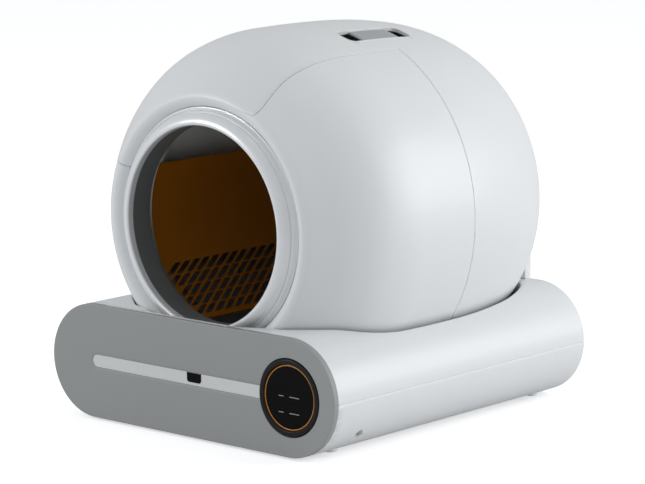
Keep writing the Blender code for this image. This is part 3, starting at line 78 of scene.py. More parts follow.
def placeCamera(values):
    # The view turns by yaw from +Y and down by pitch; roll then turns right and up about it
    data = bpy.data.cameras.new("photo_camera")
    data.sensor_fit = "HORIZONTAL"
    data.sensor_width = values["sensor"]
    data.lens = values["lens"]
    data.shift_x = values["shiftX"]
    data.shift_y = values["shiftY"]
    data.clip_end = 60.0
    camera = bpy.data.objects.new("photo_camera", data)
    bpy.context.scene.collection.objects.link(camera)
    yaw, pitch, roll = (math.radians(values[key]) for key in ("yaw", "pitch", "roll"))
    view = Vector((-math.sin(yaw) * math.cos(pitch), math.cos(yaw) * math.cos(pitch), -math.sin(pitch)))
    level = Vector((math.cos(yaw), math.sin(yaw), 0.0))
    upright = level.cross(view)
    right = math.cos(roll) * level + math.sin(roll) * upright
    up = math.cos(roll) * upright - math.sin(roll) * level
    turn = Matrix((right, up, -view)).transposed()
    camera.matrix_world = Matrix.Translation(values["place"]) @ turn.to_4x4()
    bpy.context.scene.camera = camera


placeCamera(photoCamera)
print("camera placed")

# Light: a soft box above, one on each side, and a pale room
studio = {
    "roomColour": (0.96, 0.98, 1.0),
    "roomStrength": 0.53,
    "floorSize": 60.0,
    "floorGlow": 0.56,
    "boxes": [
        ("top_box", (0.6, 0.4, 2.6), (0.0, 0.0, 0.2), 2.2, 6.0),
        ("right_box", (2.75, 2.1, 1.2), (0.1, 0.0, 0.2), 2.0, 60.0),
        ("front_box", (-2.2, -2.9, 1.6), (0.0, -0.2, 0.2), 1.0, 40.0),
    ],
}


def lightStudio(values):
    # The room gives its strength to the object and 1 to what the camera sees; each box looks at its target
    world = bpy.data.worlds.new("pale_room")
    world.use_nodes = True
    room = world.node_tree.nodes["Background"]
    room.inputs["Color"].default_value = (*values["roomColour"], 1.0)
    seen = addNode(world.node_tree, "ShaderNodeLightPath").outputs["Is Camera Ray"]
    dim = values["roomStrength"]
    feed(world.node_tree, room, {"Strength": compute(world.node_tree, "MULTIPLY_ADD", seen, 1.0 - dim, dim)})
    bpy.context.scene.world = world
    bpy.context.scene.view_settings.view_transform = "Standard"
    for name, place, target, size, power in values["boxes"]:
        data = bpy.data.lights.new(name, "AREA")
        data.shape = "SQUARE"
        data.size = size
        data.energy = power
        light = bpy.data.objects.new(name, data)
        bpy.context.scene.collection.objects.link(light)
        light.location = place
        light.rotation_euler = (Vector(target) - Vector(place)).to_track_quat("-Z", "Y").to_euler()


# Node helpers for the materials

def newGroup(name, inputs, outputs):
    # A shader group with named sockets: (name, kind, default) going in, (name, kind) coming out
    group = bpy.data.node_groups.new(name, "ShaderNodeTree")
    for label, kind, value in inputs:
        group.interface.new_socket(name=label, in_out="INPUT", socket_type=kind).default_value = value
    for label, kind in outputs:
        group.interface.new_socket(name=label, in_out="OUTPUT", socket_type=kind)
    return group, group.nodes.new("NodeGroupInput").outputs, group.nodes.new("NodeGroupOutput")


def feed(tree, node, sources):
    # Each input is linked from a socket or set to a value
    for key, source in sources.items():
        if isinstance(source, bpy.types.NodeSocket):
            tree.links.new(source, node.inputs[key])
        else:
            node.inputs[key].default_value = source


def addNode(tree, kind, sources=None, **settings):
    # A node with its settings first, then its inputs
    node = tree.nodes.new(kind)
    for key, value in settings.items():
        setattr(node, key, value)
    feed(tree, node, sources or {})
    return node


def compute(tree, operation, *terms, clamp=False):
    # The result of one math node, whose terms are sockets or numbers
    return addNode(tree, "ShaderNodeMath", dict(enumerate(terms)), operation=operation,
                   use_clamp=clamp).outputs[0]


def buildMouldGrain():
    # Colour times 1 + spread (cloud - 0.5), roughness + its spread (grain - 0.5), and the grain as the height
    group, start, end = newGroup(
        "mouldGrain",
        [("Colour", "NodeSocketColor", (0.8, 0.8, 0.8, 1.0)), ("Spread", "NodeSocketFloat", 0.03),
         ("Cloud Scale", "NodeSocketFloat", 6.0), ("Grain Scale", "NodeSocketFloat", 900.0),
         ("Roughness", "NodeSocketFloat", 0.4), ("Roughness Spread", "NodeSocketFloat", 0.06)],
        [("Colour", "NodeSocketColor"), ("Roughness", "NodeSocketFloat"), ("Height", "NodeSocketFloat")])
    place = addNode(group, "ShaderNodeTexCoord").outputs["Object"]
    clouds, grain = (addNode(group, "ShaderNodeTexNoise", {"Vector": place, "Scale": start[label], "Detail": detail})
                     .outputs["Fac"] for label, detail in (("Cloud Scale", 3.0), ("Grain Scale", 2.0)))
    share = compute(group, "MULTIPLY_ADD", compute(group, "SUBTRACT", clouds, 0.5), start["Spread"], 1.0)
    tinted = addNode(group, "ShaderNodeVectorMath", {0: start["Colour"], "Scale": share}, operation="SCALE")
    rough = compute(group, "MULTIPLY_ADD", compute(group, "SUBTRACT", grain, 0.5),
                    start["Roughness Spread"], start["Roughness"])
    feed(group, end, {"Colour": tinted.outputs["Vector"], "Roughness": rough, "Height": grain})
    return group


def buildSettledDust():
    # The dust's share is the normal's Z times noise times the amount
    group, start, end = newGroup(
        "settledDust",
        [("Colour", "NodeSocketColor", (0.8, 0.8, 0.8, 1.0)), ("Dust", "NodeSocketColor", (0.5, 0.48, 0.45, 1.0)),
         ("Amount", "NodeSocketFloat", 0.05)],
        [("Colour", "NodeSocketColor")])
    normal = addNode(group, "ShaderNodeNewGeometry").outputs["Normal"]
    facing = addNode(group, "ShaderNodeSeparateXYZ", {0: normal})
    place = addNode(group, "ShaderNodeTexCoord").outputs["Object"]
    noise = addNode(group, "ShaderNodeTexNoise", {"Vector": place, "Scale": 22.0, "Detail": 5.0})
    upward = compute(group, "MULTIPLY", facing.outputs["Z"], noise.outputs["Fac"], clamp=True)
    amount = compute(group, "MULTIPLY", upward, start["Amount"], clamp=True)
    mixed = addNode(group, "ShaderNodeMix", {0: amount, 6: start["Colour"], 7: start["Dust"]}, data_type="RGBA")
    feed(group, end, {"Colour": mixed.outputs[2]})
    return group


def buildPaintedDeepShade():
    # Painted shade for the dark low inside of the drum: on faces that look up the colour is multiplied by the dark
    # share low down, and clears evenly up to High
    group, start, end = newGroup(
        "paintedDeepShade",
        [("Colour", "NodeSocketColor", (0.8, 0.8, 0.8, 1.0)), ("Dark Share", "NodeSocketFloat", 0.2),
         ("Low", "NodeSocketFloat", 0.20), ("High", "NodeSocketFloat", 0.34)],
        [("Colour", "NodeSocketColor")])
    place = addNode(group, "ShaderNodeSeparateXYZ", {0: addNode(group, "ShaderNodeTexCoord").outputs["Object"]})
    share = addNode(group, "ShaderNodeMapRange",
                    {"Value": place.outputs["Z"], "From Min": start["Low"], "From Max": start["High"],
                     "To Min": start["Dark Share"]}, clamp=True)
    normal = addNode(group, "ShaderNodeNewGeometry").outputs["Normal"]
    facing = addNode(group, "ShaderNodeSeparateXYZ", {0: normal})
    inside = compute(group, "MULTIPLY_ADD", facing.outputs["Z"], 3.0, 0.5, clamp=True)
    amount = compute(group, "SUBTRACT", 1.0, share.outputs["Result"])
    rest = compute(group, "SUBTRACT", 1.0, compute(group, "MULTIPLY", amount, inside))
    shaded = addNode(group, "ShaderNodeVectorMath", {0: start["Colour"], "Scale": rest}, operation="SCALE")
    feed(group, end, {"Colour": shaded.outputs["Vector"]})
    return group


mouldGrain = buildMouldGrain()
paintedDeepShade = buildPaintedDeepShade()
settledDust = buildSettledDust()


def sRgb(red, green, blue):
    # Screen colour from 0 to 255 as the linear colour that a shader takes
    share = np.array([red, green, blue], float) / 255
    linear = np.where(share <= 0.04045, share / 12.92, ((share + 0.055) / 1.055) ** 2.4)
    return (*linear.tolist(), 1.0)


bumpDistance, coatRoughness = 0.0004, 0.12

# Finishes: screen colour, colour spread, roughness, grain size and height, and how much dust shows
finishes = {
    "white_plastic": {"colour": (226, 228, 229), "spread": 0.02, "rough": 0.40, "roughSpread": 0.10,
                      "grain": 1100, "bump": 0.05, "dust": 0.03, "coat": 0.06},
    "silver_plastic": {"colour": (232, 234, 236), "spread": 0.03, "rough": 0.30, "roughSpread": 0.16,
                       "grain": 2600, "bump": 0.04, "dust": 0.02, "metal": 0.30, "coat": 0.25},
    "panel_grey": {"colour": (151, 153, 152), "spread": 0.03, "rough": 0.52, "roughSpread": 0.14,
                   "grain": 1500, "bump": 0.10, "dust": 0.03},
    "stripe_grey": {"colour": (210, 213, 213), "spread": 0.02, "rough": 0.42, "roughSpread": 0.08,
                    "grain": 1400, "bump": 0.05, "dust": 0.02},
    "grip_grey": {"colour": (165, 168, 170), "spread": 0.03, "rough": 0.50, "roughSpread": 0.10,
                  "grain": 1300, "bump": 0.08, "dust": 0.05},
    "dark_plastic": {"colour": (100, 101, 101), "spread": 0.08, "rough": 0.55, "roughSpread": 0.12,
                     "grain": 1300, "bump": 0.16, "dust": 0.03},
    "amber_plastic": {"colour": (166, 98, 6), "spread": 0.08, "rough": 0.42, "roughSpread": 0.08,
                      "grain": 900, "bump": 0.03, "dust": 0.0, "specular": 0.2},
    "light_ring": {"colour": (204, 128, 24), "spread": 0.04, "rough": 0.32, "roughSpread": 0.05,
                   "grain": 900, "bump": 0.02, "dust": 0.0, "coat": 0.4},
    "gloss_black": {"colour": (13, 13, 13), "spread": 0.10, "rough": 0.18, "roughSpread": 0.06,
                    "grain": 700, "bump": 0.01, "dust": 0.01, "specular": 0.06},
    "satin_black": {"colour": (9, 9, 9), "spread": 0.10, "rough": 0.32, "roughSpread": 0.10,
                    "grain": 1500, "bump": 0.06, "dust": 0.01, "specular": 0.28},
    # drum_grey's shade is painted shade: upward faces low inside the drum are darkened
    "drum_grey": {"colour": (212, 212, 207), "spread": 0.05, "rough": 0.55, "roughSpread": 0.12,
                  "grain": 1300, "bump": 0.10, "dust": 0.03, "shade": 0.20},
    "board_green": {"colour": (28, 88, 52), "spread": 0.12, "rough": 0.38, "roughSpread": 0.10,
                    "grain": 1000, "bump": 0.06, "dust": 0.04, "coat": 0.3},
    "rubber": {"colour": (34, 34, 35), "spread": 0.10, "rough": 0.78, "roughSpread": 0.10,
               "grain": 1600, "bump": 0.22, "dust": 0.08},
    "nylon": {"colour": (222, 218, 205), "spread": 0.03, "rough": 0.46, "roughSpread": 0.10,
              "grain": 1200, "bump": 0.06, "dust": 0.02},
    "steel": {"colour": (188, 190, 192), "spread": 0.05, "rough": 0.34, "roughSpread": 0.20,
              "grain": 1800, "bump": 0.05, "dust": 0.02, "metal": 1.0},
}


def buildFinish(name, values):
    # Grain, then dust, then painted shade where the finish has it, into one Principled surface
    material = bpy.data.materials.new(name)
    material.use_nodes = True
    tree = material.node_tree
    grain = addNode(tree, "ShaderNodeGroup",
                    {"Colour": sRgb(*values["colour"]), "Spread": values["spread"], "Grain Scale": values["grain"],
                     "Roughness": values["rough"], "Roughness Spread": values["roughSpread"]}, node_tree=mouldGrain)
    dust = addNode(tree, "ShaderNodeGroup", {"Amount": values["dust"], "Colour": grain.outputs["Colour"]},
                   node_tree=settledDust)
    colour = dust.outputs["Colour"]
    if "shade" in values:
        colour = addNode(tree, "ShaderNodeGroup", {"Dark Share": values["shade"], "Colour": colour},
                         node_tree=paintedDeepShade).outputs["Colour"]
    bump = addNode(tree, "ShaderNodeBump", {"Strength": values["bump"], "Distance": bumpDistance,
                                            "Height": grain.outputs["Height"]})
    feed(tree, tree.nodes["Principled BSDF"],
         {"Base Color": colour, "Roughness": grain.outputs["Roughness"], "Normal": bump.outputs["Normal"],
          "Metallic": values.get("metal", 0.0), "Coat Weight": values.get("coat", 0.0),
          "Coat Roughness": coatRoughness, "Specular IOR Level": values.get("specular", 0.5)})
    return material


materials = {name: buildFinish(name, values) for name, values in finishes.items()}
for part in frame["record"]["subparts"]:
    node = frame["nodes"][part["node"]]
    for place in node.material_slots:
        place.material = materials[part["material_slot"]]
print("materials built and put on the carried-over parts")

# Mesh helpers. A part is its points (n, 3), its four-cornered faces (m, 4) and a list of flat caps


def sideBySide(*columns):
    # Arrays and numbers, stretched to one shape, as the last axis of one array
    return np.stack(np.broadcast_arrays(*columns), axis=-1)


def arcPoints(radius, angles, x=0.0):
    # Points of a circle about (x, 0), whose radius may change from angle to angle
    return sideBySide(x + radius * np.cos(angles), radius * np.sin(angles))


def gridCells(rows, columns, wrapRows=False, wrapColumns=False):
    # Corner numbers of the cell between each row and the next, and each column and the next
    i, j = np.meshgrid(np.arange(rows - (not wrapRows)), np.arange(columns - (not wrapColumns)), indexing="ij")
    i2, j2 = (i + 1) % rows, (j + 1) % columns
    return sideBySide(i * columns + j, i * columns + j2, i2 * columns + j2, i2 * columns + j)


def gridPart(grid, wrapRows=False, wrapColumns=False, capFirst=False, capLast=False):
    # A grid of points as a part, with a flat cap on its first or last row where asked
    rows, columns = grid.shape[:2]
    caps = []
    if capFirst:
        caps.append(np.arange(columns)[::-1])
    if capLast:
        caps.append(np.arange(columns) + (rows - 1) * columns)
    return grid.reshape(-1, 3), gridCells(rows, columns, wrapRows, wrapColumns).reshape(-1, 4), caps


def shellPart(outer, inner, kept, capLast=False):
    # Two layers of one grid; each side of a kept cell with no kept neighbour gets a wall between them
    rows, columns = outer.shape[:2]
    layer = rows * columns
    cells = gridCells(rows, columns)
    padded = np.pad(kept, 1)
    if capLast:
        padded[-1, 1:-1] = kept[-1]
    faces = [cells[kept], cells[kept][:, ::-1] + layer]
    for corner, (di, dj) in enumerate(((-1, 0), (0, 1), (1, 0), (0, -1))):
        free = kept & ~padded[1 + di:rows + di, 1 + dj:columns + dj]
        a, b = cells[free][:, corner], cells[free][:, (corner + 1) % 4]
        faces.append(sideBySide(b, a, a + layer, b + layer))
    caps = []
    if capLast:
        last = np.arange(columns) + (rows - 1) * columns
        caps = [last, last[::-1] + layer]
        faces.append(np.array([[last[0], last[-1], last[-1] + layer, last[0] + layer]]))
    return np.concatenate([outer.reshape(-1, 3), inner.reshape(-1, 3)]), np.concatenate(faces), caps


def together(*parts):
    # Parts as one: each part's corner numbers grow by the points before it
    counts = np.cumsum([0] + [len(points) for points, _, _ in parts])
    points = np.concatenate([points for points, _, _ in parts])
    quads = np.concatenate([quads + count for (_, quads, _), count in zip(parts, counts)])
    caps = [cap + count for (_, _, capList), count in zip(parts, counts) for cap in capList]
    return points, quads, caps


smoothLimit = 38.0


def buildMesh(name, part, about=None, sharp=smoothLimit):
    # Doubles are merged, so poles and seams close, and faces turn away from the inside
    points, quads, caps = part
    corners = np.concatenate([quads.ravel()] + [np.asarray(cap) for cap in caps]).astype(np.int32)
    sizes = np.concatenate([np.full(len(quads), 4), [len(cap) for cap in caps]]).astype(np.int64)
    starts = (np.cumsum(sizes) - sizes).astype(np.int32)
    mesh = bpy.data.meshes.new(name)
    mesh.vertices.add(len(points))
    mesh.vertices.foreach_set("co", np.ascontiguousarray(points, np.float32).ravel())
    mesh.loops.add(len(corners))
    mesh.loops.foreach_set("vertex_index", corners)
    mesh.polygons.add(len(sizes))
    mesh.polygons.foreach_set("loop_start", starts)
    mesh.update(calc_edges=True)
    mesh.validate()
    work = bmesh.new()
    work.from_mesh(mesh)
    bmesh.ops.delete(work, geom=[v for v in work.verts if not v.link_faces], context="VERTS")
    bmesh.ops.remove_doubles(work, verts=work.verts, dist=2e-6)
    bmesh.ops.recalc_face_normals(work, faces=work.faces)
    middle = Vector(about) if about else Vector(points.mean(axis=0).tolist())
    flux = sum(f.calc_area() * f.normal.dot(f.calc_center_median() - middle) for f in work.faces)
    if flux < 0:
        bmesh.ops.reverse_faces(work, faces=work.faces)
    work.to_mesh(mesh)
    work.free()
    mesh.shade_smooth()
    mesh.set_sharp_from_angle(angle=math.radians(sharp))
    return mesh


def addPiece(name, part, body, slot, replaced=(), about=None, sharp=smoothLimit, finish=None):
    # The piece rides its body, fills its slot and stands in for the nodes it replaces
    piece = bpy.data.objects.new(name, buildMesh(name, part, about, sharp))
    bpy.context.scene.collection.objects.link(piece)
    piece.data.materials.append(materials[finish or slot])
    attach(piece, body)
    if replaced:
        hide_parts(*replaced)
    return piece


def addWall(piece, thickness):
    # The skin grows inwards by the thickness
    wall = piece.modifiers.new("wall", "SOLIDIFY")
    wall.thickness = thickness
    wall.offset = -1.0
    wall.use_even_offset = True


def addRounding(piece, width, angle=55.0, segments=2):
    # Edges that turn by more than the angle are rounded by the width
    rounding = piece.modifiers.new("rounding", "BEVEL")
    rounding.width = width
    rounding.segments = segments
    rounding.limit_method = "ANGLE"
    rounding.angle_limit = math.radians(angle)
    rounding.harden_normals = True


def settle(piece):
    # The finished shape becomes the piece's own mesh, without doubles or slivers
    bpy.context.view_layer.update()
    finished = bpy.data.meshes.new_from_object(piece.evaluated_get(bpy.context.evaluated_depsgraph_get()))
    work = bmesh.new()
    work.from_mesh(finished)
    bmesh.ops.remove_doubles(work, verts=work.verts, dist=2e-6)
    bmesh.ops.triangulate(work, faces=[f for f in work.faces if len(f.verts) > 4], ngon_method="BEAUTY")
    bmesh.ops.dissolve_degenerate(work, edges=work.edges, dist=3e-5)
    work.to_mesh(finished)
    work.free()
    piece.modifiers.clear()
    piece.data = finished
    finished.set_sharp_from_angle(angle=math.radians(smoothLimit))


def bore(piece, part):
    # The part is cut out of the finished piece
    cutter = bpy.data.objects.new("cutter", buildMesh("cutter", part))
    bpy.context.scene.collection.objects.link(cutter)
    cut = piece.modifiers.new("bore", "BOOLEAN")
    cut.operation = "DIFFERENCE"
    cut.solver = "EXACT"
    cut.object = cutter
    settle(piece)
    bpy.data.objects.remove(cutter)


def cubicThrough(places, values, slopes, at):
    # Between neighbours: the cubic that has the value and the slope of each
    k = np.clip(np.searchsorted(places, at, side="right") - 1, 0, len(places) - 2)
    span, t = places[k + 1] - places[k], at - places[k]
    if values.ndim > 1:
        span, t = span[:, None], t[:, None]
    t = t / span
    return ((2 * t ** 3 - 3 * t ** 2 + 1) * values[k] + (t ** 3 - 2 * t ** 2 + t) * span * slopes[k]
            + (3 * t ** 2 - 2 * t ** 3) * values[k + 1] + (t ** 3 - t ** 2) * span * slopes[k + 1])


def alongCurve(points):
    # Length of the straight line through the points, up to each
    return np.concatenate([[0], np.cumsum(np.linalg.norm(np.diff(points, axis=0), axis=1))])


def smoothCurve(points, count=0, at=None):
    # Cubic through the points, each tangent taken from the two neighbours, read at equal lengths or at `at`
    points = np.asarray(points, float)
    lengths = alongCurve(points)
    where = np.linspace(0, lengths[-1], count) if at is None else np.asarray(at, float)
    return cubicThrough(lengths, points, np.gradient(points, lengths, axis=0), where)


def roundedLine(corners, radius, steps=5, closed=False):
    # A parabola takes each corner off, from the radius before it to the radius after it
    corners = np.asarray(corners, float)
    legs = [np.roll(corners, shift, axis=0) - corners for shift in (1, -1)]
    lengths = [np.maximum(np.linalg.norm(leg, axis=1), 1e-9) for leg in legs]
    reach = np.minimum(np.broadcast_to(radius, len(corners)), 0.38 * np.minimum(*lengths))[:, None, None]
    before, after = [(leg / length[:, None])[:, None] * reach for leg, length in zip(legs, lengths)]
    t = np.linspace(0, 1, steps + 1)[None, :, None]
    corner = corners[:, None]
    curve = corner + (1 - t) ** 2 * before + t ** 2 * after
    block = np.concatenate([corner + 1.3 * before, curve, corner + 1.3 * after], axis=1)
    if closed:
        return block.reshape(-1, 2)
    return np.concatenate([corners[:1], block[1:-1].reshape(-1, 2), corners[-1:]])


def turned(profile, x, z, steps=128, ring=True):
    # Each (radius, y) goes once round a line along Y: x + r sin a, y, z + r cos a
    radius, along = np.split(np.asarray(profile, float), 2, axis=1)
    angle = np.linspace(0, 2 * np.pi, steps, endpoint=False)
    return gridPart(sideBySide(x + radius * np.sin(angle), along, z + radius * np.cos(angle)),
                    wrapRows=ring, wrapColumns=True)


def turnedUp(profile, x, y, steps=48):
    # Each (radius, z) goes once round a line along Z: x + r cos a, y + r sin a, z
    radius, along = np.split(np.asarray(profile, float), 2, axis=1)
    angle = np.linspace(0, 2 * np.pi, steps, endpoint=False)
    return gridPart(sideBySide(x + radius * np.cos(angle), y + radius * np.sin(angle), along), wrapColumns=True)


def insetLoop(loop, distance):
    # A closed outline moved inwards, square to the line between its neighbours
    run = np.roll(loop, -1, axis=0) - np.roll(loop, 1, axis=0)
    run = run / np.maximum(np.linalg.norm(run, axis=1), 1e-9)[:, None]
    after = np.roll(loop, -1, axis=0)
    turn = np.sign(np.sum(loop[:, 0] * after[:, 1] - after[:, 0] * loop[:, 1]))
    return loop + distance * turn * sideBySide(-run[:, 1], run[:, 0])


def loopStack(loop, rows, axis="y"):
    # The outline at each (place, inset): placed along Y it lies in x and z, along Z in x and y
    grid = []
    for place, inset in rows:
        across, up = insetLoop(loop, inset).T
        grid.append(sideBySide(across, place, up) if axis == "y" else sideBySide(across, up, place))
    return np.array(grid)


def closedGrid(grid):
    # A solid: the rows close round it and both ends are capped
    return gridPart(grid, wrapColumns=True, capFirst=True, capLast=True)


def roundedRectangle(x0, x1, y0, y1, radius, steps=10):
    # Four quarter circles joined by straight sides
    angle = np.linspace(0, np.pi / 2, steps + 1)
    centres = np.array([[x1 - radius, y1 - radius], [x0 + radius, y1 - radius],
                        [x0 + radius, y0 + radius], [x1 - radius, y0 + radius]])
    turn = angle[None, :] + (np.arange(4) * np.pi / 2)[:, None]
    return (centres[:, None] + arcPoints(radius, turn)).reshape(-1, 2)


# Base: a stadium across, straight from front to back
baseForm = {
    "halfWidth": 0.240, "bottom": 0.003, "top": 0.150,
    "front": -0.2417, "back": 0.250, "backRadius": 0.003,
    "wall": 0.0025, "seam": 0.0003, "seamRounding": 0.0003,
    "skirtBottom": 0.1316, "openingRounding": 0.0025,
    "wellX": 0.2207, "wellY": -0.186, "wellRadius": 0.0038, "wellTop": 0.050, "wellWall": 0.003, "wellCut": 0.030,
    "socketX": 0.120, "socketZ": 0.040, "socketRadius": 0.0055, "cutReach": 0.010, "roundSteps": 5,
    "planSteps": 640, "deckSteps": 21, "deckSpread": 1.2, "sideSteps": 27, "flatSteps": 19, "lengthSteps": 39,
}
openingForm = {
    "ringRadii": (0.1320, 0.1475), "gap": [(-0.2170, 0.0016), (-0.1900, 0.0022), (-0.1500, 0.0050)],
    "front": -0.2360, "shoulder": -0.2216, "notch": ((0.006, -0.2204), (0.001, -0.2190)),
    "rear": ((0.005, 0.2359), (0.015, 0.2367)), "corner": 0.0025, "globeSteps": 120, "halfSteps": 900,
}
endRadius = (baseForm["top"] - baseForm["bottom"]) / 2
coreHalf = baseForm["halfWidth"] - endRadius
midHeight = baseForm["bottom"] + endRadius

# Globe and ring: (y, radius) outlines about a line along Y at this height
globeForm = {
    "axis": 0.264,
    "outline": [(-0.2075, 0.1483), (-0.2108, 0.1506), (-0.2151, 0.1550), (-0.2170, 0.1603),
                (-0.2148, 0.1658), (-0.2051, 0.1754), (-0.1950, 0.1843), (-0.1834, 0.1948),
                (-0.1700, 0.2052), (-0.1400, 0.2225), (-0.1000, 0.2332), (-0.0499, 0.23573),
                (0.0, 0.23586), (0.024, 0.2355), (0.0538, 0.23435), (0.0999, 0.2301), (0.1399, 0.2235),
                (0.1800, 0.2105), (0.2099, 0.1945), (0.2246, 0.1817), (0.2317, 0.1728), (0.2340, 0.1652)],
    "seamPoint": 13, "seamGap": 0.0007, "wall": 0.003, "rounding": 0.0006,
    "cut": 0.1313, "bandPoint": 4, "flatEnd": [(0.2340, 0.1600), (0.2340, 0.1540)],
    "bandSteps": 24, "frontSteps": 69, "rearSteps": 65,
    "topColumns": (38, 34, 14, 54), "frontColumns": (58, 50, 40),
    "tongueLeft": 66.0, "tongueMiddle": 6.0,
    "tongueRight": [(0, 4.0), (1, 6.5), (2, 11.5), (2.5, 15.5), (3, 21.0), (3.3, 24.5), (3.6, 27.2), (4, 29.0),
                    (4.4, 29.6), (5, 29.4), (6, 28.4), (7, 27.4), (8, 26.8), (9, 27.2), (10, 28.0), (11, 28.4),
                    (13, 28.5), (21, 28.5)],
}
ringForm = {
    "base": [(0.1480, -0.2084), (0.1468, -0.2082), (0.1456, -0.2089), (0.1446, -0.2108), (0.1437, -0.2132),
             (0.1426, -0.2150)],
    "crease": [(0.1421, -0.2142), (0.1414, -0.2143), (0.1412, -0.2157)],
    "bulge": [(0.1406, -0.2172), (0.1384, -0.2201), (0.1352, -0.2229), (0.1320, -0.2246), (0.1295, -0.2252),
              (0.1275, -0.2249), (0.1263, -0.2238), (0.1258, -0.2218), (0.1256, -0.2190)],
    "inside": [(0.1255, -0.2160), (0.1285, -0.2160), (0.1285, -0.2190), (0.1305, -0.2205),
               (0.1400, -0.2125), (0.1445, -0.2069), (0.1480, -0.2069)],
    "baseSteps": 18, "bulgeSteps": 32, "insideBend": 0.0005, "turnSteps": 200,
}
collarForm = {"outline": [(0.1252, -0.2158), (0.1262, -0.1850), (0.1280, -0.1850), (0.1280, -0.2041),
                          (0.1460, -0.2041), (0.1460, -0.2066), (0.1280, -0.2066), (0.1280, -0.2158)],
              "bend": 0.0008}


def upperSide(w, inset=0.0):
    # Width along the skin from the middle: flat to the core, then a quarter circle down to the seam
    over = np.clip(np.abs(w) - coreHalf, 0, None) / endRadius
    radius = endRadius - inset
    return np.sign(w) * (np.minimum(np.abs(w), coreHalf) + radius * np.sin(over)), radius * np.cos(over)


def skinWidth(x):
    # The reverse: the width along the skin at each x
    return np.where(np.abs(x) > coreHalf, np.sign(x) * (coreHalf + endRadius * np.arcsin(
        np.clip((np.abs(x) - coreHalf) / endRadius, 0, 1))), x)


def gapHalfWidth(radius, gap=0.005):
    # Half width of the deck's opening: where the circle, grown by the gap, meets the deck's height
    x = radius * 0.87
    for _ in range(30):
        over = np.clip(x - coreHalf, 0, None)
        drop = globeForm["axis"] - midHeight - np.sqrt(endRadius ** 2 - over ** 2)
        x = np.sqrt(np.maximum((radius + gap) ** 2 - drop ** 2, 0))
    return x


def openingLoop():
    # Half outline: straight in front of the ring, then beside the ring, then beside the globe, and its mirror
    globe = smoothCurve(globeForm["outline"][3:], openingForm["globeSteps"])
    start = gapHalfWidth(np.array(openingForm["ringRadii"]))
    beside = sideBySide(gapHalfWidth(globe[:, 1], np.interp(globe[:, 0], *zip(*openingForm["gap"]))), globe[:, 0])
    front, first, end = openingForm["front"], beside[0, 0], beside[-1, 0]
    line = np.concatenate([
        [(0.0, front), (start[0], front), (start[1], openingForm["shoulder"])],
        [(first - short, y) for short, y in openingForm["notch"]], beside[2:],
        [(end - short, y) for short, y in openingForm["rear"]], [(0.0, openingForm["rear"][-1][1])]])
    line = roundedLine(line, openingForm["corner"], 3)
    at = alongCurve(line)
    fine = np.linspace(0, at[-1], openingForm["halfSteps"])
    half = sideBySide(*(np.interp(fine, at, column) for column in line.T))
    return np.concatenate([half, half[-2:0:-1] * [-1, 1]])


def byBearing(loop, bearings):
    # Radius of a star-shaped outline at each bearing from the middle
    bearing = np.arctan2(loop[:, 1], loop[:, 0])
    order = np.argsort(bearing)
    radius = np.interp(bearings, bearing[order], np.hypot(loop[:, 0], loop[:, 1])[order], period=2 * np.pi)
    return arcPoints(radius, bearings)


def rearCap(w, side):
    # The rear edge turns over a quarter circle into the flat end, which stops at the seam
    radius = baseForm["backRadius"]
    rows = []
    for t in np.linspace(0, np.pi / 2, baseForm["roundSteps"] + 1):
        x, rise = upperSide(w, radius * (1 - np.cos(t)))
        rows.append(sideBySide(x, baseForm["back"] - radius + radius * np.sin(t), midHeight + side * rise))
    x, rise = upperSide(w, radius * 1.6)
    return np.array(rows + [sideBySide(x, baseForm["back"], midHeight + side * rise)])


def deckSurface():
    # Between the opening and the outer edge the skin is unrolled flat and ruled from one to the other
    rounding = baseForm["openingRounding"]
    reach = coreHalf + endRadius * np.pi / 2
    back = baseForm["back"] - baseForm["backRadius"]
    corners = np.arctan2([baseForm["front"], baseForm["front"], back, back], [-reach, reach, reach, -reach])
    bearings = np.unique(np.round(np.concatenate([np.linspace(-np.pi, np.pi, baseForm["planSteps"], endpoint=False),
                                                        corners]), 9))
    plan = byBearing(openingLoop(), bearings)
    rows = []
    width = skinWidth(plan[:, 0])
    height = midHeight + upperSide(width)[1]
    for level in (np.minimum(baseForm["skirtBottom"], height - rounding), height - rounding):
        rows.append(sideBySide(*plan.T, level))
    for t in np.linspace(np.pi / 2, 0, baseForm["roundSteps"] + 1)[1:]:
        moved = insetLoop(plan, -rounding * (1 - np.sin(t)))
        deck = midHeight + upperSide(skinWidth(moved[:, 0]))[1]
        rows.append(sideBySide(*moved.T, deck - rounding * (1 - np.cos(t))))
    inner = sideBySide(skinWidth(rows[-1][:, 0]), rows[-1][:, 1])
    limit = np.where(inner[:, 1] > 0, back, -baseForm["front"])
    stretch = np.minimum(reach / np.maximum(np.abs(inner[:, 0]), 1e-9), limit / np.maximum(np.abs(inner[:, 1]), 1e-9))
    outer = inner * stretch[:, None]
    for v in np.linspace(0, 1, baseForm["deckSteps"] + 1)[1:]:
        flat = inner + (outer - inner) * v ** baseForm["deckSpread"]
        x, rise = upperSide(flat[:, 0])
        rows.append(sideBySide(x, flat[:, 1], midHeight + baseForm["seam"] / 2 + rise))
    deck = gridPart(np.array(rows), wrapColumns=True)
    cap = rearCap(np.sort(outer[np.abs(outer[:, 1] - back) < 1e-7][:, 0]), 1.0)
    cap[:, :, 2] += baseForm["seam"] / 2
    return together(deck, gridPart(cap, capLast=True))


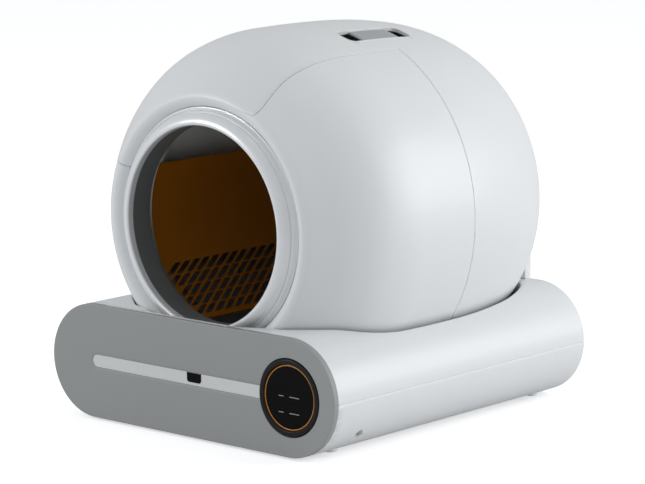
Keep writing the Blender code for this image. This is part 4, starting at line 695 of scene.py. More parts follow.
def lowerSurface():
    # The same skin below the seam, ruled straight from front to back
    reach = coreHalf + endRadius * np.pi / 2
    sideSteps = baseForm["sideSteps"] + 1
    w = np.concatenate([np.linspace(-reach, -coreHalf, sideSteps),
                        np.linspace(-coreHalf, coreHalf, baseForm["flatSteps"] + 1)[1:-1],
                        np.linspace(coreHalf, reach, sideSteps)])
    x, rise = upperSide(w)
    stations = np.linspace(baseForm["front"], baseForm["back"] - baseForm["backRadius"], baseForm["lengthSteps"] + 1)
    cap = rearCap(w, -1.0)
    cap[:, :, 2] -= baseForm["seam"] / 2
    return together(gridPart(sideBySide(x, stations[:, None], midHeight - baseForm["seam"] / 2 - rise)),
                    gridPart(cap, capLast=True))


deck = addPiece("upper_deck_skin", deckSurface(), "base", "white_plastic", ["base_upper_deck"],
                about=(0, 0, midHeight))
lower = addPiece("lower_shell_skin", lowerSurface(), "base", "white_plastic", ["base_lower_shell"],
                 about=(0, 0, midHeight))
for skin in (deck, lower):
    addWall(skin, baseForm["wall"])
    addRounding(skin, baseForm["seamRounding"])
settle(deck)
wellPlaces = [(side * baseForm["wellX"], baseForm["wellY"]) for side in (-1, 1)]
wellRadius, wellTop, wellWall = (baseForm[key] for key in ("wellRadius", "wellTop", "wellWall"))
wellCut, cutReach = baseForm["wellCut"], baseForm["cutReach"]
wellCutters = [turnedUp([(0, -cutReach), (wellRadius, -cutReach), (wellRadius, wellCut), (0, wellCut)], x, y)
               for x, y in wellPlaces]
socketRadius, inside, outside = baseForm["socketRadius"], baseForm["back"] - cutReach, baseForm["back"] + cutReach
socketCutter = [(0, inside), (socketRadius, inside), (socketRadius, outside), (0, outside)]
bore(lower, together(*wellCutters, turned(socketCutter, baseForm["socketX"], baseForm["socketZ"], 48, ring=False)))
print("base skins built")


# Posts, rails and screw wells that stand inside the lower shell
innerForm = {"floor": 0.0058, "postX": 0.190, "postY": 0.200, "postRadius": 0.008, "postTop": 0.1279,
             "railY": (-0.200, 0.100), "railTop": 0.020, "railWidth": 0.002, "railGap": 0.0005,
             "standoffTop": 0.012, "standoffInset": 0.005, "standoffRadius": 0.003,
             "postEdge": 0.0008, "railEdge": 0.0005, "railCorner": 0.0009, "steps": 32}


def post(x, y, radius, low, high):
    # A round bar from low to high with softened ends
    section = roundedLine([(0, low), (radius, low), (radius, high), (0, high)], innerForm["postEdge"], 4)
    return turnedUp(section, x, y, innerForm["steps"])


innerParts = [post(sx * innerForm["postX"], sy * innerForm["postY"], innerForm["postRadius"],
                   innerForm["floor"], innerForm["postTop"]) for sx in (-1, 1) for sy in (-1, 1)]
boardLow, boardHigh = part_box("main_board")
margin = innerForm["standoffInset"]
innerParts += [post(x, y, innerForm["standoffRadius"], innerForm["floor"], innerForm["standoffTop"])
               for x in (boardLow.x + margin, boardHigh.x - margin)
               for y in (boardLow.y + margin, boardHigh.y - margin)]
trayLow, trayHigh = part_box("drawer_tray")
railTop, railGap, railWidth, railEdge = (innerForm[key] for key in ("railTop", "railGap", "railWidth", "railEdge"))
for x in (trayLow.x - railGap - railWidth, trayHigh.x + railGap):
    loop = roundedRectangle(x, x + railWidth, *innerForm["railY"], innerForm["railCorner"], 4)
    innerParts.append(closedGrid(loopStack(loop, [(innerForm["floor"], 0), (railTop - railEdge, 0),
                                                  (railTop, railEdge)], "z")))
addPiece("lower_shell_posts", together(*innerParts), "base", "white_plastic")
wellParts = []
for x, y in wellPlaces:
    low = midHeight - math.sqrt((endRadius - baseForm["wall"]) ** 2 - (abs(x) - coreHalf) ** 2) - 0.001
    wellParts.append(turnedUp([(0, wellTop), (wellRadius, wellTop), (wellRadius, low), (wellRadius + wellWall, low),
                               (wellRadius + wellWall, wellTop + wellWall), (0, wellTop + wellWall)],
                              x, y, innerForm["steps"]))
# The well cups take the darker panel grey as painted shade, so the white holes read as shadowed
addPiece("screw_wells", together(*wellParts), "base", "white_plastic", finish="panel_grey")

# Feet: a short rubber button with a rounded rim
footForm = {"x": 0.150, "y": 0.205, "radius": 0.014, "height": 0.0030, "edge": 0.0015, "bend": 0.0008}
footRadius, footHeight, footEdge = (footForm[key] for key in ("radius", "height", "edge"))
footProfile = roundedLine([(0, 0), (footRadius - footEdge, 0), (footRadius, footEdge), (footRadius, footHeight),
                           (0, footHeight)], footForm["bend"], 4)
for sx, side in ((-1, "left"), (1, "right")):
    for sy, end in ((-1, "front"), (1, "rear")):
        addPiece(f"rubber_foot_{end}_{side}", turnedUp(footProfile, sx * footForm["x"], sy * footForm["y"]),
                 "base", "rubber", [f"foot_{end}_{side}"])

# Rear column: a rounded plate with a soft front edge and a recess for its cover
columnForm = {"halfWidth": 0.150, "low": 0.1503, "high": 0.240, "corner": 0.020, "front": 0.2375,
              "back": 0.250, "edge": 0.0025, "wall": 0.003, "beside": 0.005, "recess": 0.0025}


def columnPart(values):
    # A slab with rounded edges; its flat back holds a recess, narrower by "beside", where the rear cover sits
    edge, front, back, wall = (values[key] for key in ("edge", "front", "back", "wall"))
    turn = np.linspace(0, np.pi / 2, 6)
    outside = [(front, edge * 1.4)]
    outside += [(front + edge - edge * math.sin(t), edge - edge * math.cos(t)) for t in turn[::-1]]
    outside += [(back - 0.0005, 0), (back, 0.0005)]
    stacks = []
    for half, rows in ((values["halfWidth"], outside),
                       (values["halfWidth"] - values["beside"], [(back, wall), (back - values["recess"], wall)])):
        loop = roundedRectangle(-half, half, values["low"] - values["corner"], values["high"], values["corner"], 12)
        loop = np.concatenate([loop[loop[:, 1] > values["low"]], [(-half, values["low"]), (half, values["low"])]])
        stacks.append(loopStack(loop, rows))
    return closedGrid(np.concatenate(stacks))


addPiece("rear_column_skin", columnPart(columnForm), "base", "white_plastic", ["rear_column"])
print("base fittings built")


# Globe: two shells that meet along a ring seam and two seams beside the tongue over the top

def globeProfile():
    # The outline read at steps that meet the band's end and the seam exactly, and the tongue's right edge there
    points = np.array(globeForm["outline"])
    lengths = alongCurve(points)
    stops = (0, lengths[globeForm["bandPoint"]], lengths[globeForm["seamPoint"]], lengths[-1])
    counts = [globeForm[key] for key in ("bandSteps", "frontSteps", "rearSteps")]
    at = np.concatenate([[0]] + [np.linspace(stops[k], stops[k + 1], counts[k] + 1)[1:] for k in range(3)])
    marks = np.array(globeForm["tongueRight"])
    place = np.interp(marks[:, 0], np.arange(len(lengths)), lengths)
    right = cubicThrough(place, marks[:, 1], np.gradient(marks[:, 1], place), at)
    return smoothCurve(points, at=at), np.radians(right), counts[0], counts[0] + counts[1]


def inwards(profile, distance):
    # Each point moved square to the curve, towards the inside
    run = np.gradient(profile, axis=0)
    run = run / np.linalg.norm(run, axis=1)[:, None]
    return profile + distance * sideBySide(run[:, 1], -run[:, 0])


def aroundGlobe(angle, profile):
    # Each (y, radius) at its row of angles: x = r sin a, z = axis + r cos a, with a counted from the top
    along, radius = np.split(profile, 2, axis=1)
    return sideBySide(radius * np.sin(angle), along, globeForm["axis"] + radius * np.cos(angle))


def spreadAngles(marks, counts):
    # Each row's marks (rows, marks), with equal steps between neighbours
    runs = [marks[:, k:k + 1] + (marks[:, k + 1:k + 2] - marks[:, k:k + 1]) * np.arange(count) / count
            for k, count in enumerate(counts)]
    return np.concatenate(runs + [marks[:, -1:]], axis=1)


def cutAngle(radius):
    # Where a circle of this radius meets the flat cut, counted from the top
    return np.arccos(np.clip((globeForm["cut"] - globeForm["axis"]) / radius, -1, 1))


def buildGlobe():
    # The top keeps the tongue in front of the seam and all behind it; the front shell keeps the rest
    profile, right, band, seam = globeProfile()
    flatEnd = np.array(globeForm["flatEnd"])
    left = math.radians(globeForm["tongueLeft"])
    middle = math.radians(globeForm["tongueMiddle"])
    whole = np.concatenate([profile, flatEnd])
    inner = np.concatenate([inwards(profile, globeForm["wall"]), flatEnd - [globeForm["wall"], 0.002]])
    rightAll = np.concatenate([right, right[-1:], right[-1:]])
    counts = globeForm["topColumns"]
    grids = []
    for line in (whole, inner):
        cut = cutAngle(line[:, 1])
        marks = sideBySide(-cut, -left, -middle, rightAll, cut)
        grids.append(aroundGlobe(spreadAngles(marks, counts), line))
    kept = np.zeros((len(whole) - 1, sum(counts)), bool)
    kept[seam:] = True
    kept[:, counts[0]:sum(counts[:3])] = True
    top = addPiece("globe_top_skin", shellPart(grids[0], grids[1], kept, capLast=True), "cover", "white_plastic",
                   ["globe_top_rear_shell"])
    addRounding(top, globeForm["rounding"])

    front = profile[:seam + 1].copy()
    front[-1, 0] -= globeForm["seamGap"]
    counts = globeForm["frontColumns"]
    grids = []
    for line in (front, inwards(front, globeForm["wall"])):
        cut = cutAngle(line[:, 1])
        gap = globeForm["seamGap"] / line[:, 1]
        marks = sideBySide(right[:seam + 1] + gap, cut, 2 * np.pi - cut, 2 * np.pi - left - gap)
        grids.append(aroundGlobe(spreadAngles(marks, counts), line))
    kept = np.ones((len(front) - 1, sum(counts)), bool)
    kept[band:, counts[0]:counts[0] + counts[1]] = False
    shell = addPiece("globe_front_skin", shellPart(grids[0], grids[1], kept), "cover", "white_plastic",
                     ["globe_front_shell"])
    addRounding(shell, globeForm["rounding"])
    return top, profile[band + 1:]  # behind the lip, where each place along Y has one radius


globeTop, globeCurve = buildGlobe()
print("globe built")

# Entry ring and the dark collar behind it
ringProfile = np.concatenate([
    smoothCurve(ringForm["base"], ringForm["baseSteps"]), ringForm["crease"],
    smoothCurve(ringForm["bulge"], ringForm["bulgeSteps"]), roundedLine(ringForm["inside"], ringForm["insideBend"], 3)])
collarProfile = roundedLine(collarForm["outline"], collarForm["bend"], 4, closed=True)
for name, profile, slot in (("entry_ring", ringProfile, "silver_plastic"),
                            ("entry_collar", collarProfile, "dark_plastic")):
    addPiece(f"{name}_skin", turned(profile, 0, globeForm["axis"], ringForm["turnSteps"]), "cover", slot, [name])

# Grip: a rim that follows the globe round a window, and a plate between two finger holes
gripForm = {"angle": 17.7, "middle": 0.0228, "halfLength": 0.0615, "halfWidth": 0.0172, "corner": 0.0115,
            "rim": 0.0014, "depth": 0.0045, "proud": 0.0004, "lap": 0.0008,
            "plate": (-0.0095, 0.0600), "plateSink": 0.0018, "plateThick": 0.0024, "plateCorner": 0.003,
            "cut": 0.02, "clearance": 0.0003, "foot": 0.0001, "rimStart": 0.0006,
            "plateEdge": [(0.0, 0.0005), (0.0002, 0.0001), (0.0006, 0.0)], "plateShares": (0.8, 0.55, 0.3, 0.05)}


def onGlobe(flat, height):
    # (across, along) on the skin: the angle grows by across over the radius, the height stands off it
    radius = np.interp(flat[..., 1], globeCurve[:, 0], globeCurve[:, 1])
    angle = math.radians(gripForm["angle"]) + flat[..., 0] / radius
    reach = radius + height
    return sideBySide(reach * np.sin(angle), flat[..., 1], globeForm["axis"] + reach * np.cos(angle))


def fineLoop(loop, count):
    # Each side of the loop in this many equal steps, so that it follows the globe
    side = np.roll(loop, -1, axis=0) - loop
    steps = np.linspace(0, 1, count, endpoint=False)
    return (loop[:, None] + side[:, None] * steps[None, :, None]).reshape(-1, 2)


def gripLoop(inset):
    # The grip's window, smaller by the inset
    half, length = gripForm["halfWidth"] - inset, gripForm["halfLength"] - inset
    loop = roundedRectangle(-half, half, gripForm["middle"] - length, gripForm["middle"] + length,
                            max(gripForm["corner"] - inset, 0.001), 10)
    return fineLoop(loop, 8)


def buildGrip():
    # The window is bored through the globe; a rim lines it and a plate lies across its middle
    rim, depth, proud, lap, clearance, foot, rimStart, sink = (
        gripForm[key] for key in ("rim", "depth", "proud", "lap", "clearance", "foot", "rimStart", "plateSink"))
    window = np.array([onGlobe(gripLoop(clearance), height) for height in (-gripForm["cut"], gripForm["cut"])])
    bore(globeTop, closedGrid(window))
    section = roundedLine([(-lap, -foot), (-lap, proud), (rim, proud), (rim, -depth),
                           (rimStart, -depth), (rimStart, -foot)], 0.0005, 4, closed=True)
    rows = np.array([onGlobe(gripLoop(inset), height) for inset, height in section])
    addPiece("grip_rim", gridPart(rows, wrapRows=True, wrapColumns=True), "cover", "white_plastic", ["grip_frame"])
    half = gripForm["halfWidth"] - rim - clearance
    loop = fineLoop(roundedRectangle(-half, half, *gripForm["plate"], gripForm["plateCorner"], 6), 6)
    rows = [onGlobe(insetLoop(loop, inset), -sink - below)
            for inset, below in [(0.0, gripForm["plateThick"]), *gripForm["plateEdge"]]]
    middle = np.array([0.0, sum(gripForm["plate"]) / 2])
    last = insetLoop(loop, gripForm["plateEdge"][-1][0])
    rows += [onGlobe(middle + (last - middle) * share, -sink) for share in gripForm["plateShares"]]
    addPiece("grip_plate_skin", closedGrid(np.array(rows)), "cover", "grip_grey", ["grip_plate"])


buildGrip()
print("entry and grip built")


# Drum: the turning inside wall, with a port at the top
drumForm = {
    "outline": [(0.1338, -0.1765), (0.1390, -0.1765), (0.1550, -0.1620), (0.1550, -0.1460), (0.1693, -0.1273),
                (0.1780, -0.1120), (0.1780, 0.1000), (0.1693, 0.1198), (0.1550, 0.1440), (0.1550, 0.1655),
                (0.1525, 0.1680)],
    "wall": 0.0025, "seam": 0.0004, "portAngle": 22.5, "portHalf": 0.085, "bend": 0.006, "steps": 144,
    "barrelRadius": 0.1780,
}


def drumLine(low, high):
    # The rounded outline between two places along Y, with a point at the port's ends, half way and at the seam
    half, seam = drumForm["portHalf"], drumForm["seam"] / 2
    barrel = [(drumForm["barrelRadius"], y) for y in (-half, -half / 2, -seam, seam, half / 2, half)]
    line = np.concatenate([roundedLine(drumForm["outline"], drumForm["bend"], 5), barrel])
    line = line[np.argsort(line[:, 1], kind="stable")]
    return line[(line[:, 1] >= low - 1e-9) & (line[:, 1] <= high + 1e-9)]


def drumShell(line, capLast=False):
    # Each (radius, y) goes once round the axis; cells over the port are left out
    steps, portAngle = drumForm["steps"], drumForm["portAngle"]
    angle = np.linspace(0, 2 * np.pi, steps + 1)[None, :] + math.radians(portAngle)
    outside = line[:, ::-1]
    grids = [aroundGlobe(angle, curve) for curve in (outside, inwards(outside, drumForm["wall"]))]
    beside = np.maximum(np.abs(line[:-1, 1]), np.abs(line[1:, 1])) > drumForm["portHalf"] + 1e-6
    port = np.arange(steps) >= steps - round(steps * portAngle / 180)
    return wrappedShell(*grids, beside[:, None] | ~port[None, :], capLast)


def wrappedShell(outer, inner, kept, capLast):
    # A shell closed round the line: its first and last columns are one, so no wall stands there
    points, faces, caps = shellPart(outer, inner, kept, capLast)
    rows, columns = outer.shape[:2]
    row, column = faces % (rows * columns) // columns, faces % (rows * columns) % columns
    across = (column.max(axis=1) == column.min(axis=1)) & np.isin(column[:, 0], (0, columns - 1))
    both = kept[:, 0] & kept[:, -1]
    shared = both[np.clip(row.min(axis=1), 0, len(both) - 1)] & (row.max(axis=1) > row.min(axis=1))
    return points, faces[~(across & shared)], caps


drumSeam = drumForm["seam"] / 2
# The drum skins take drum_grey, whose painted shade darkens the upward faces low inside the drum
for name, line in (("front", drumLine(-1.0, -drumSeam)), ("rear", drumLine(drumSeam, 1.0))):
    addPiece(f"drum_{name}_skin", drumShell(line, capLast=name == "rear"), "drum", "dark_plastic",
             [f"drum_{name}_shell"], finish="drum_grey")

# Sifter: a sheet with leaning slots, laid out flat as (y, s) and rolled round the line
sheetForm = {
    "radius": 0.15147, "wall": 0.002, "topAngle": 67.3, "gridAngle": 118.6, "rowAngle": 6.5, "bottomAngle": 154.2,
    "front": -0.1600, "back": 0.1635, "units": 142, "unitsPerSlot": 8, "leanPerRow": 12, "rows": 5,
    "firstUnit": 10, "slotWidth": 0.68, "slotLength": 0.90, "squareness": 6.0, "sideSteps": 6, "rim": 0.0015,
}


def sheetPart(values):
    # Flat (y, s) points, rolled up by the angle s / radius
    # A tile is the ring of faces between a slanted cell and the slot in it; each row starts where the last leaned to
    unit = (values["back"] - values["front"]) / values["units"]
    arc = values["radius"] * math.pi / 180
    start = (values["gridAngle"] - values["topAngle"]) * arc
    length = (values["bottomAngle"] - values["topAngle"]) * arc
    rowHeight = values["rowAngle"] * arc
    across, side, lean = values["unitsPerSlot"], values["sideSteps"], values["leanPerRow"]
    along, down = np.arange(across) / across, np.arange(side) / side
    p = np.concatenate([along, np.ones(side), 1 - along, np.zeros(side)])
    q = np.concatenate([np.zeros(across), down, np.ones(across), 1 - down])
    bearing = np.arctan2(q - 0.5, p - 0.5)
    power = values["squareness"]
    reach = 0.5 / (np.abs(np.cos(bearing)) ** power + np.abs(np.sin(bearing)) ** power) ** (1 / power)
    holeP = 0.5 + values["slotWidth"] * reach * np.cos(bearing)
    holeQ = 0.5 + values["slotLength"] * reach * np.sin(bearing)
    tileP, tileQ = np.stack([p, holeP]), np.stack([q, holeQ])
    tile = sideBySide((tileP * across - tileQ * lean) * unit, tileQ * rowHeight)
    ring = gridCells(2, len(p), wrapColumns=True).reshape(-1, 4)
    lattice = values["front"] + np.arange(values["units"] + 1) * unit
    sideShare = np.arange(side + 1) / side
    parts = []
    for levels in (np.linspace(0, start, 14), np.linspace(start + values["rows"] * rowHeight, length, 4)):
        y, s = np.meshgrid(lattice, levels)
        parts.append((sideBySide(y, s).reshape(-1, 2), gridCells(*y.shape).reshape(-1, 4), []))
    for k in range(values["rows"]):
        top, low = start + k * rowHeight, start + (k + 1) * rowHeight
        first = values["firstUnit"] - (lean * k) % across
        count = (values["units"] - first - 2) // across
        last = first + count * across
        origin = sideBySide(lattice[first:last:across], top)
        flat = origin[:, None, None] + tile[None]
        flat[:, 0, :, 0] = np.maximum(flat[:, 0, :, 0], values["front"])
        flat[:, 1, :, 0] = np.maximum(flat[:, 1, :, 0], values["front"] + values["rim"])
        quads = ring[None] + (np.arange(count) * 2 * len(p))[:, None, None]
        parts.append((flat.reshape(-1, 2), quads.reshape(-1, 4), []))
        slope, lastSlope = (sideBySide(lattice[k] - sideShare * lean * unit, top + sideShare * rowHeight)
                            for k in (first, last))
        inside = np.argmax(np.append(slope[1:, 0] <= values["front"] + 1e-9, True)) + 2
        edge = np.maximum(slope[:inside], [values["front"], 0])
        upper = sideBySide(lattice[:first + 1], top)
        parts.append((np.concatenate([upper, edge[1:]]), np.zeros((0, 4), int), [np.arange(first + len(edge))]))
        upper, lower = sideBySide(lattice[last:], top), sideBySide(lattice[last - lean:], low)
        loop = np.concatenate([lastSlope[::-1], upper[1:], lower[:0:-1]])
        parts.append((loop, np.zeros((0, 4), int), [np.arange(len(loop))]))
    flat, quads, caps = together(*parts)
    angle = -math.radians(values["topAngle"]) - flat[:, 1] / values["radius"]
    rolled = sideBySide(values["radius"] * np.sin(angle), flat[:, 0],
                        globeForm["axis"] + values["radius"] * np.cos(angle))
    return rolled, quads, caps


sifter = addPiece("slotted_sheet", sheetPart(sheetForm), "drum", "amber_plastic", ["drum_sifter"],
                  about=(0, 0, globeForm["axis"]))
addWall(sifter, sheetForm["wall"])
settle(sifter)
print("drum built")


# Drawer front: a stadium plate that falls gently to the stripe and goes round the control pod
panelForm = {
    "front": -0.250, "back": -0.242, "edge": 0.0009, "valley": 0.003,
    "stripeHeight": 0.0162, "gap": 0.0003, "podRadius": 0.0489, "stripeStart": -0.163,
    "pullMiddle": -0.045, "pullHalf": 0.105, "pullHeight": 0.004, "pullDepth": 0.003,
    "endSteps": 48, "straightSteps": 70, "podSteps": 24, "rightSteps": 64,
}


def panelLoops():
    # Matching points of the outer stadium and of the keyhole that stripe and pod leave
    half = panelForm["stripeHeight"] / 2 + panelForm["gap"]
    hole, stripeStart = panelForm["podRadius"], panelForm["stripeStart"]
    start = math.asin(half / hole)
    meet = coreHalf - hole * math.cos(start)
    end, podSide, right = (
        np.linspace(low, high, panelForm[key], endpoint=False)
        for low, high, key in ((-np.pi / 2, -3 * np.pi / 2, "endSteps"), (start, np.pi / 2, "podSteps"),
                               (np.pi / 2, -np.pi / 2, "rightSteps")))
    arcX = coreHalf - hole * np.cos(podSide)
    both = []
    for middle, radius, height, above, last in ((-coreHalf, endRadius, endRadius, endRadius, endRadius),
                                                (stripeStart, half, half, hole * np.sin(podSide), hole)):
        straight = np.linspace(middle, meet, panelForm["straightSteps"], endpoint=False)
        upper = [sideBySide(straight, height), sideBySide(arcX, above)]
        loops = [arcPoints(radius, end, middle), *upper, arcPoints(last, right, coreHalf), [(coreHalf, -last)],
                 np.concatenate(upper)[1:][::-1] * [1, -1]]
        both.append(np.concatenate(loops) + [0, midHeight])
    return both


def panelDip(x, z):
    # Depth of the front: it grows evenly with the distance in from the stadium's edge
    inset = endRadius - np.hypot(np.clip(np.abs(x) - coreHalf, 0, None), z - midHeight)
    last = endRadius - panelForm["stripeHeight"] / 2 - panelForm["gap"]
    return panelForm["valley"] * np.clip((inset - panelForm["edge"]) / (last - panelForm["edge"]), 0, 1)


def panelPart():
    # From the back over the rounded edge to the front, in to the keyhole and back again; the pull is a dip on top
    outer, inner = panelLoops()
    front, back, edge = (panelForm[key] for key in ("front", "back", "edge"))
    rows = []

    def row(flat, y, drop=0.0):
        # The flat outline at this place along Y, lowered by the drop
        rows.append(sideBySide(flat[:, 0], y, flat[:, 1] - drop))

    onTop = (outer[:, 1] > midHeight + endRadius - 1e-6) & (np.abs(outer[:, 0] - panelForm["pullMiddle"])
                                                            < panelForm["pullHalf"])
    pull = panelForm["pullHeight"] * onTop
    row(outer, back, pull)
    row(outer, back - panelForm["pullDepth"], pull)
    row(outer, back - panelForm["pullDepth"] - 0.0001)
    for t in np.linspace(0, np.pi / 2, 5):
        row(insetLoop(outer, edge * (1 - math.cos(t))), front + edge * (1 - math.sin(t)))
    start = insetLoop(outer, edge)
    for v in np.concatenate([[0.03], np.linspace(0.08, 0.985, 20)]):
        flat = start + (inner - start) * v
        row(flat, front + panelDip(flat[:, 0], flat[:, 1]))
    row(inner, front + panelDip(inner[:, 0], inner[:, 1]) + 0.0004)
    row(inner, back)
    return gridPart(np.array(rows), wrapRows=True, wrapColumns=True)


addPiece("drawer_front_skin", panelPart(), "drawer", "panel_grey", ["drawer_front"], sharp=30.0)

# Stripe: a bar that fills the keyhole's slot, round at the left and cut to the pod at the right
stripeForm = {"front": -0.2466, "back": -0.2425, "edge": 0.0004, "podGap": 0.0005}


def stripePart():
    # A half circle at the left, straight sides, and an arc round the pod at the right
    half = panelForm["stripeHeight"] / 2
    hole = panelForm["podRadius"] + stripeForm["podGap"]
    start = math.asin(half / hole)
    end = np.linspace(np.pi / 2, 3 * np.pi / 2, 25)
    arc = np.linspace(-start, start, 13)
    loop = np.concatenate([arcPoints(half, end, panelForm["stripeStart"]),
                           sideBySide(coreHalf - hole * np.cos(arc), hole * np.sin(arc))])
    rows = [(stripeForm["back"], 0), (stripeForm["front"] + stripeForm["edge"], 0),
            (stripeForm["front"] + 0.0001, 0.0001), (stripeForm["front"], stripeForm["edge"]),
            (stripeForm["front"], 2 * stripeForm["edge"])]
    return closedGrid(loopStack(loop + [0, midHeight], rows))


addPiece("light_stripe", stripePart(), "drawer", "stripe_grey", ["front_stripe"])

# Window: a black tab with square top corners and a rounded foot, in a thin pale border
windowForm = {"middle": 0.0072, "width": 0.0245, "height": 0.0122, "corner": 0.0040, "border": 0.0008,
              "front": -0.2471}


def windowLoop(grow):
    # The window's outline, larger by grow at its sides and foot
    half = windowForm["width"] / 2 + grow
    top = midHeight + panelForm["stripeHeight"] / 2 - 0.0002
    low = top - windowForm["height"] - grow
    radius = windowForm["corner"] + grow
    angle = np.linspace(np.pi, 1.5 * np.pi, 9)
    foot = arcPoints(radius, angle)
    left = foot + [-half + radius, low + radius]
    right = (foot * [-1, 1])[::-1] + [half - radius, low + radius]
    return np.concatenate([[(half, top), (-half, top)], left, right]) + [windowForm["middle"], 0]


front = windowForm["front"]
addPiece("window_border", closedGrid(loopStack(windowLoop(windowForm["border"]), [
    (front + 0.0008, 0), (front + 0.0003, 0), (front + 0.0002, 0.0002)])), "drawer", "stripe_grey")
addPiece("window_tab", closedGrid(loopStack(windowLoop(0.0), [
    (front + 0.0008, 0), (front + 0.0002, 0), (front, 0.0003), (front, 0.0008)])),
         "drawer", "gloss_black", ["sensor_window"])
print("drawer front built")

# Control pod: black rim, amber ring, dark glass and four small touch marks
podForm = {
    "x": coreHalf, "radius": 0.0481, "rimInner": 0.0402, "front": -0.250, "glass": -0.2476, "back": -0.2125,
    "shoulder": -0.2425, "ledge": 0.005, "ringWidth": 0.0013, "ringGap": 0.0001, "glassGap": 0.0002,
    "markColumns": ((-0.0136, 0.0040), (0.0075, 0.0080)), "markRows": (0.0009, -0.0192), "markHalfHeight": 0.0005,
}
podX, podRadius, podFront, podBack, shoulder, glass = (
    podForm[key] for key in ("x", "radius", "front", "back", "shoulder", "glass"))
rimInner = podForm["rimInner"]
rimLedge = rimInner - podForm["ledge"]
rimProfile = roundedLine([
    (podRadius - 0.0014, podFront), (podRadius, podFront + 0.0018), (podRadius, podBack), (rimLedge, podBack),
    (rimLedge, shoulder), (rimInner, shoulder), (rimInner, glass + 0.0002), (rimInner + 0.0016, podFront)],
    0.0006, 4, closed=True)
addPiece("pod_rim", turned(rimProfile, podX, midHeight, 144), "base", "gloss_black", ["control_bezel"],
         finish="satin_black")
ringOuter = rimInner - podForm["ringGap"]
ringInner = ringOuter - podForm["ringWidth"]
rest = shoulder - 0.0003
ringLine = roundedLine([(ringInner, glass), (ringOuter, glass), (ringOuter, rest), (ringInner, rest)],
                       0.0004, 4, closed=True)
addPiece("pod_light_ring", turned(ringLine, podX, midHeight, 144), "base", "light_ring", ["control_light_ring"])
glassEdge = ringInner - podForm["glassGap"]
glassLine = roundedLine([(0, rest), (glassEdge, rest), (glassEdge, glass + 0.0002), (0, glass + 0.0002)], 0.0005, 4)
addPiece("pod_glass", turned(glassLine, podX, midHeight, 144, ring=False), "base", "gloss_black",
         ["control_glass"])
marks = []
halfZ = podForm["markHalfHeight"]
for dx, halfX in podForm["markColumns"]:
    for dz in podForm["markRows"]:
        x, z = podX + dx, midHeight + dz
        loop = roundedRectangle(x - halfX, x + halfX, z - halfZ, z + halfZ, halfZ * 0.95, 5)
        marks.append(closedGrid(loopStack(loop, [(glass + 0.0003, 0), (glass + 0.00015, 0), (glass + 0.0001, 0.0001)])))
addPiece("pod_touch_marks", together(*marks), "base", "dark_plastic", finish="panel_grey")
print("control pod built")


# Drawer: tray, bin and bag ring with rounded corners
trayForm = {"wall": 0.0022, "corner": 0.0172}
binForm = {"wall": 0.002, "corner": 0.015}
boxEdge = {"foot": 0.0012, "lip": 0.0006}
bagForm = {"corner": 0.015, "wall": 0.006, "step": 0.0023, "edge": 0.0008, "rest": 0.0003}


def boxLoop(low, high, corner, inset=0.0):
    # The box's plan with rounded corners, smaller by the inset
    return roundedRectangle(low.x + inset, high.x - inset, low.y + inset, high.y - inset, corner - inset, 10)


def openBox(node, values):
    # Up the outside, over the lip and down the inside to a flat floor, at the node's own size
    low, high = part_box(node)
    wall, foot, lip = values["wall"], boxEdge["foot"], boxEdge["lip"]
    outside = loopStack(boxLoop(low, high, values["corner"]), [
        (low.z, foot), (low.z + 0.0003, 0.0004), (low.z + foot, 0), (high.z - lip, 0), (high.z, lip)], "z")
    floorZ = low.z + wall
    inside = loopStack(boxLoop(low, high, values["corner"], wall), [
        (high.z, -lip), (high.z - lip, 0), (floorZ + foot, 0), (floorZ + 0.0003, 0.0004), (floorZ, foot)], "z")
    return closedGrid(np.concatenate([outside, inside]))


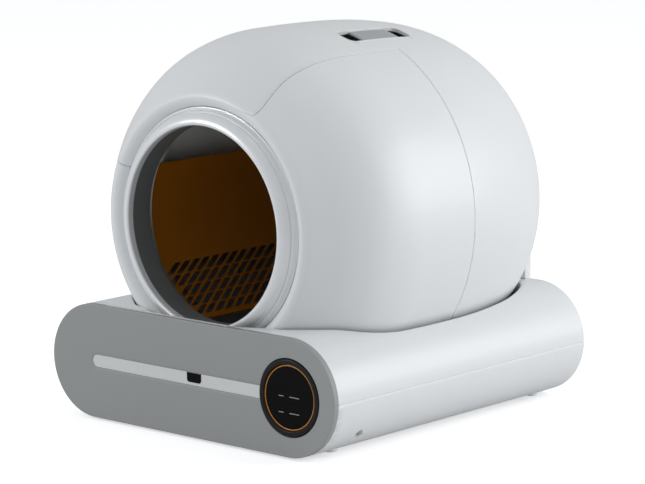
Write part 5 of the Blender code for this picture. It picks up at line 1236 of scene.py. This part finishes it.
addPiece("drawer_tray_skin", openBox("drawer_tray", trayForm), "drawer", "panel_grey", ["drawer_tray"])
addPiece("waste_bin_skin", openBox("waste_bin", binForm), "drawer", "dark_plastic", ["waste_bin"])
bagLow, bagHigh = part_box("bag_ring")
rest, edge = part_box("waste_bin")[1].z + bagForm["rest"], bagForm["edge"]
outer, inner, lipOuter = (boxLoop(bagLow, bagHigh, bagForm["corner"], inset)
                          for inset in (0.0, bagForm["wall"], bagForm["step"]))
rows = np.concatenate([loopStack(outer, [(rest, 0), (bagHigh.z - edge, 0), (bagHigh.z, edge)], "z"),
                       loopStack(inner, [(bagHigh.z, -edge), (bagHigh.z - edge, 0), (bagLow.z, 0)], "z"),
                       loopStack(lipOuter, [(bagLow.z, 0), (rest, 0)], "z")])
addPiece("bag_ring_skin", gridPart(rows, wrapRows=True, wrapColumns=True), "drawer", "white_plastic", ["bag_ring"])

# Rollers: a rubber tyre with rounded shoulders on each pin
tyreForm = {"bore": 0.0028, "shoulder": 0.0012}
bare, soft = tyreForm["bore"], tyreForm["shoulder"]
for name in ("front_left", "front_right", "rear_left", "rear_right"):
    low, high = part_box(f"roller_{name}")
    radius = (high.z - low.z) / 2
    tyre = roundedLine([(bare, low.y), (radius - soft, low.y), (radius, low.y + soft), (radius, high.y - soft),
                        (radius - soft, high.y), (bare, high.y)], 0.0006, 3, closed=True)
    addPiece(f"tyre_{name}", turned(tyre, (low.x + high.x) / 2, (low.z + high.z) / 2, 64), f"{name}_roller",
             "rubber", [f"roller_{name}"])
print("drawer and rollers built")

lightStudio(studio)
floorHalf = studio["floorSize"] / 2
floorGrid = np.array([[(-floorHalf, -floorHalf, 0), (floorHalf, -floorHalf, 0)],
                      [(-floorHalf, floorHalf, 0), (floorHalf, floorHalf, 0)]], float)
floor = bpy.data.objects.new("studio_floor", buildMesh("studio_floor", gridPart(floorGrid), about=(0, 0, -1)))
bpy.context.scene.collection.objects.link(floor)
finishes["floor"] = {"colour": (228, 229, 230), "spread": 0.01, "rough": 0.8, "roughSpread": 0.05,
                     "grain": 300, "bump": 0.0, "dust": 0.0, "specular": 0.1}
floorFinish = buildFinish("floor", finishes["floor"])
floorTree = floorFinish.node_tree
seen = addNode(floorTree, "ShaderNodeLightPath").outputs["Is Camera Ray"]
feed(floorTree, floorTree.nodes["Principled BSDF"],
     {"Emission Color": (1.0, 1.0, 1.0, 1.0),
      "Emission Strength": compute(floorTree, "MULTIPLY", seen, studio["floorGlow"])})
floor.data.materials.append(floorFinish)
floor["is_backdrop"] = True
print("studio lit")

low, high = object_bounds()
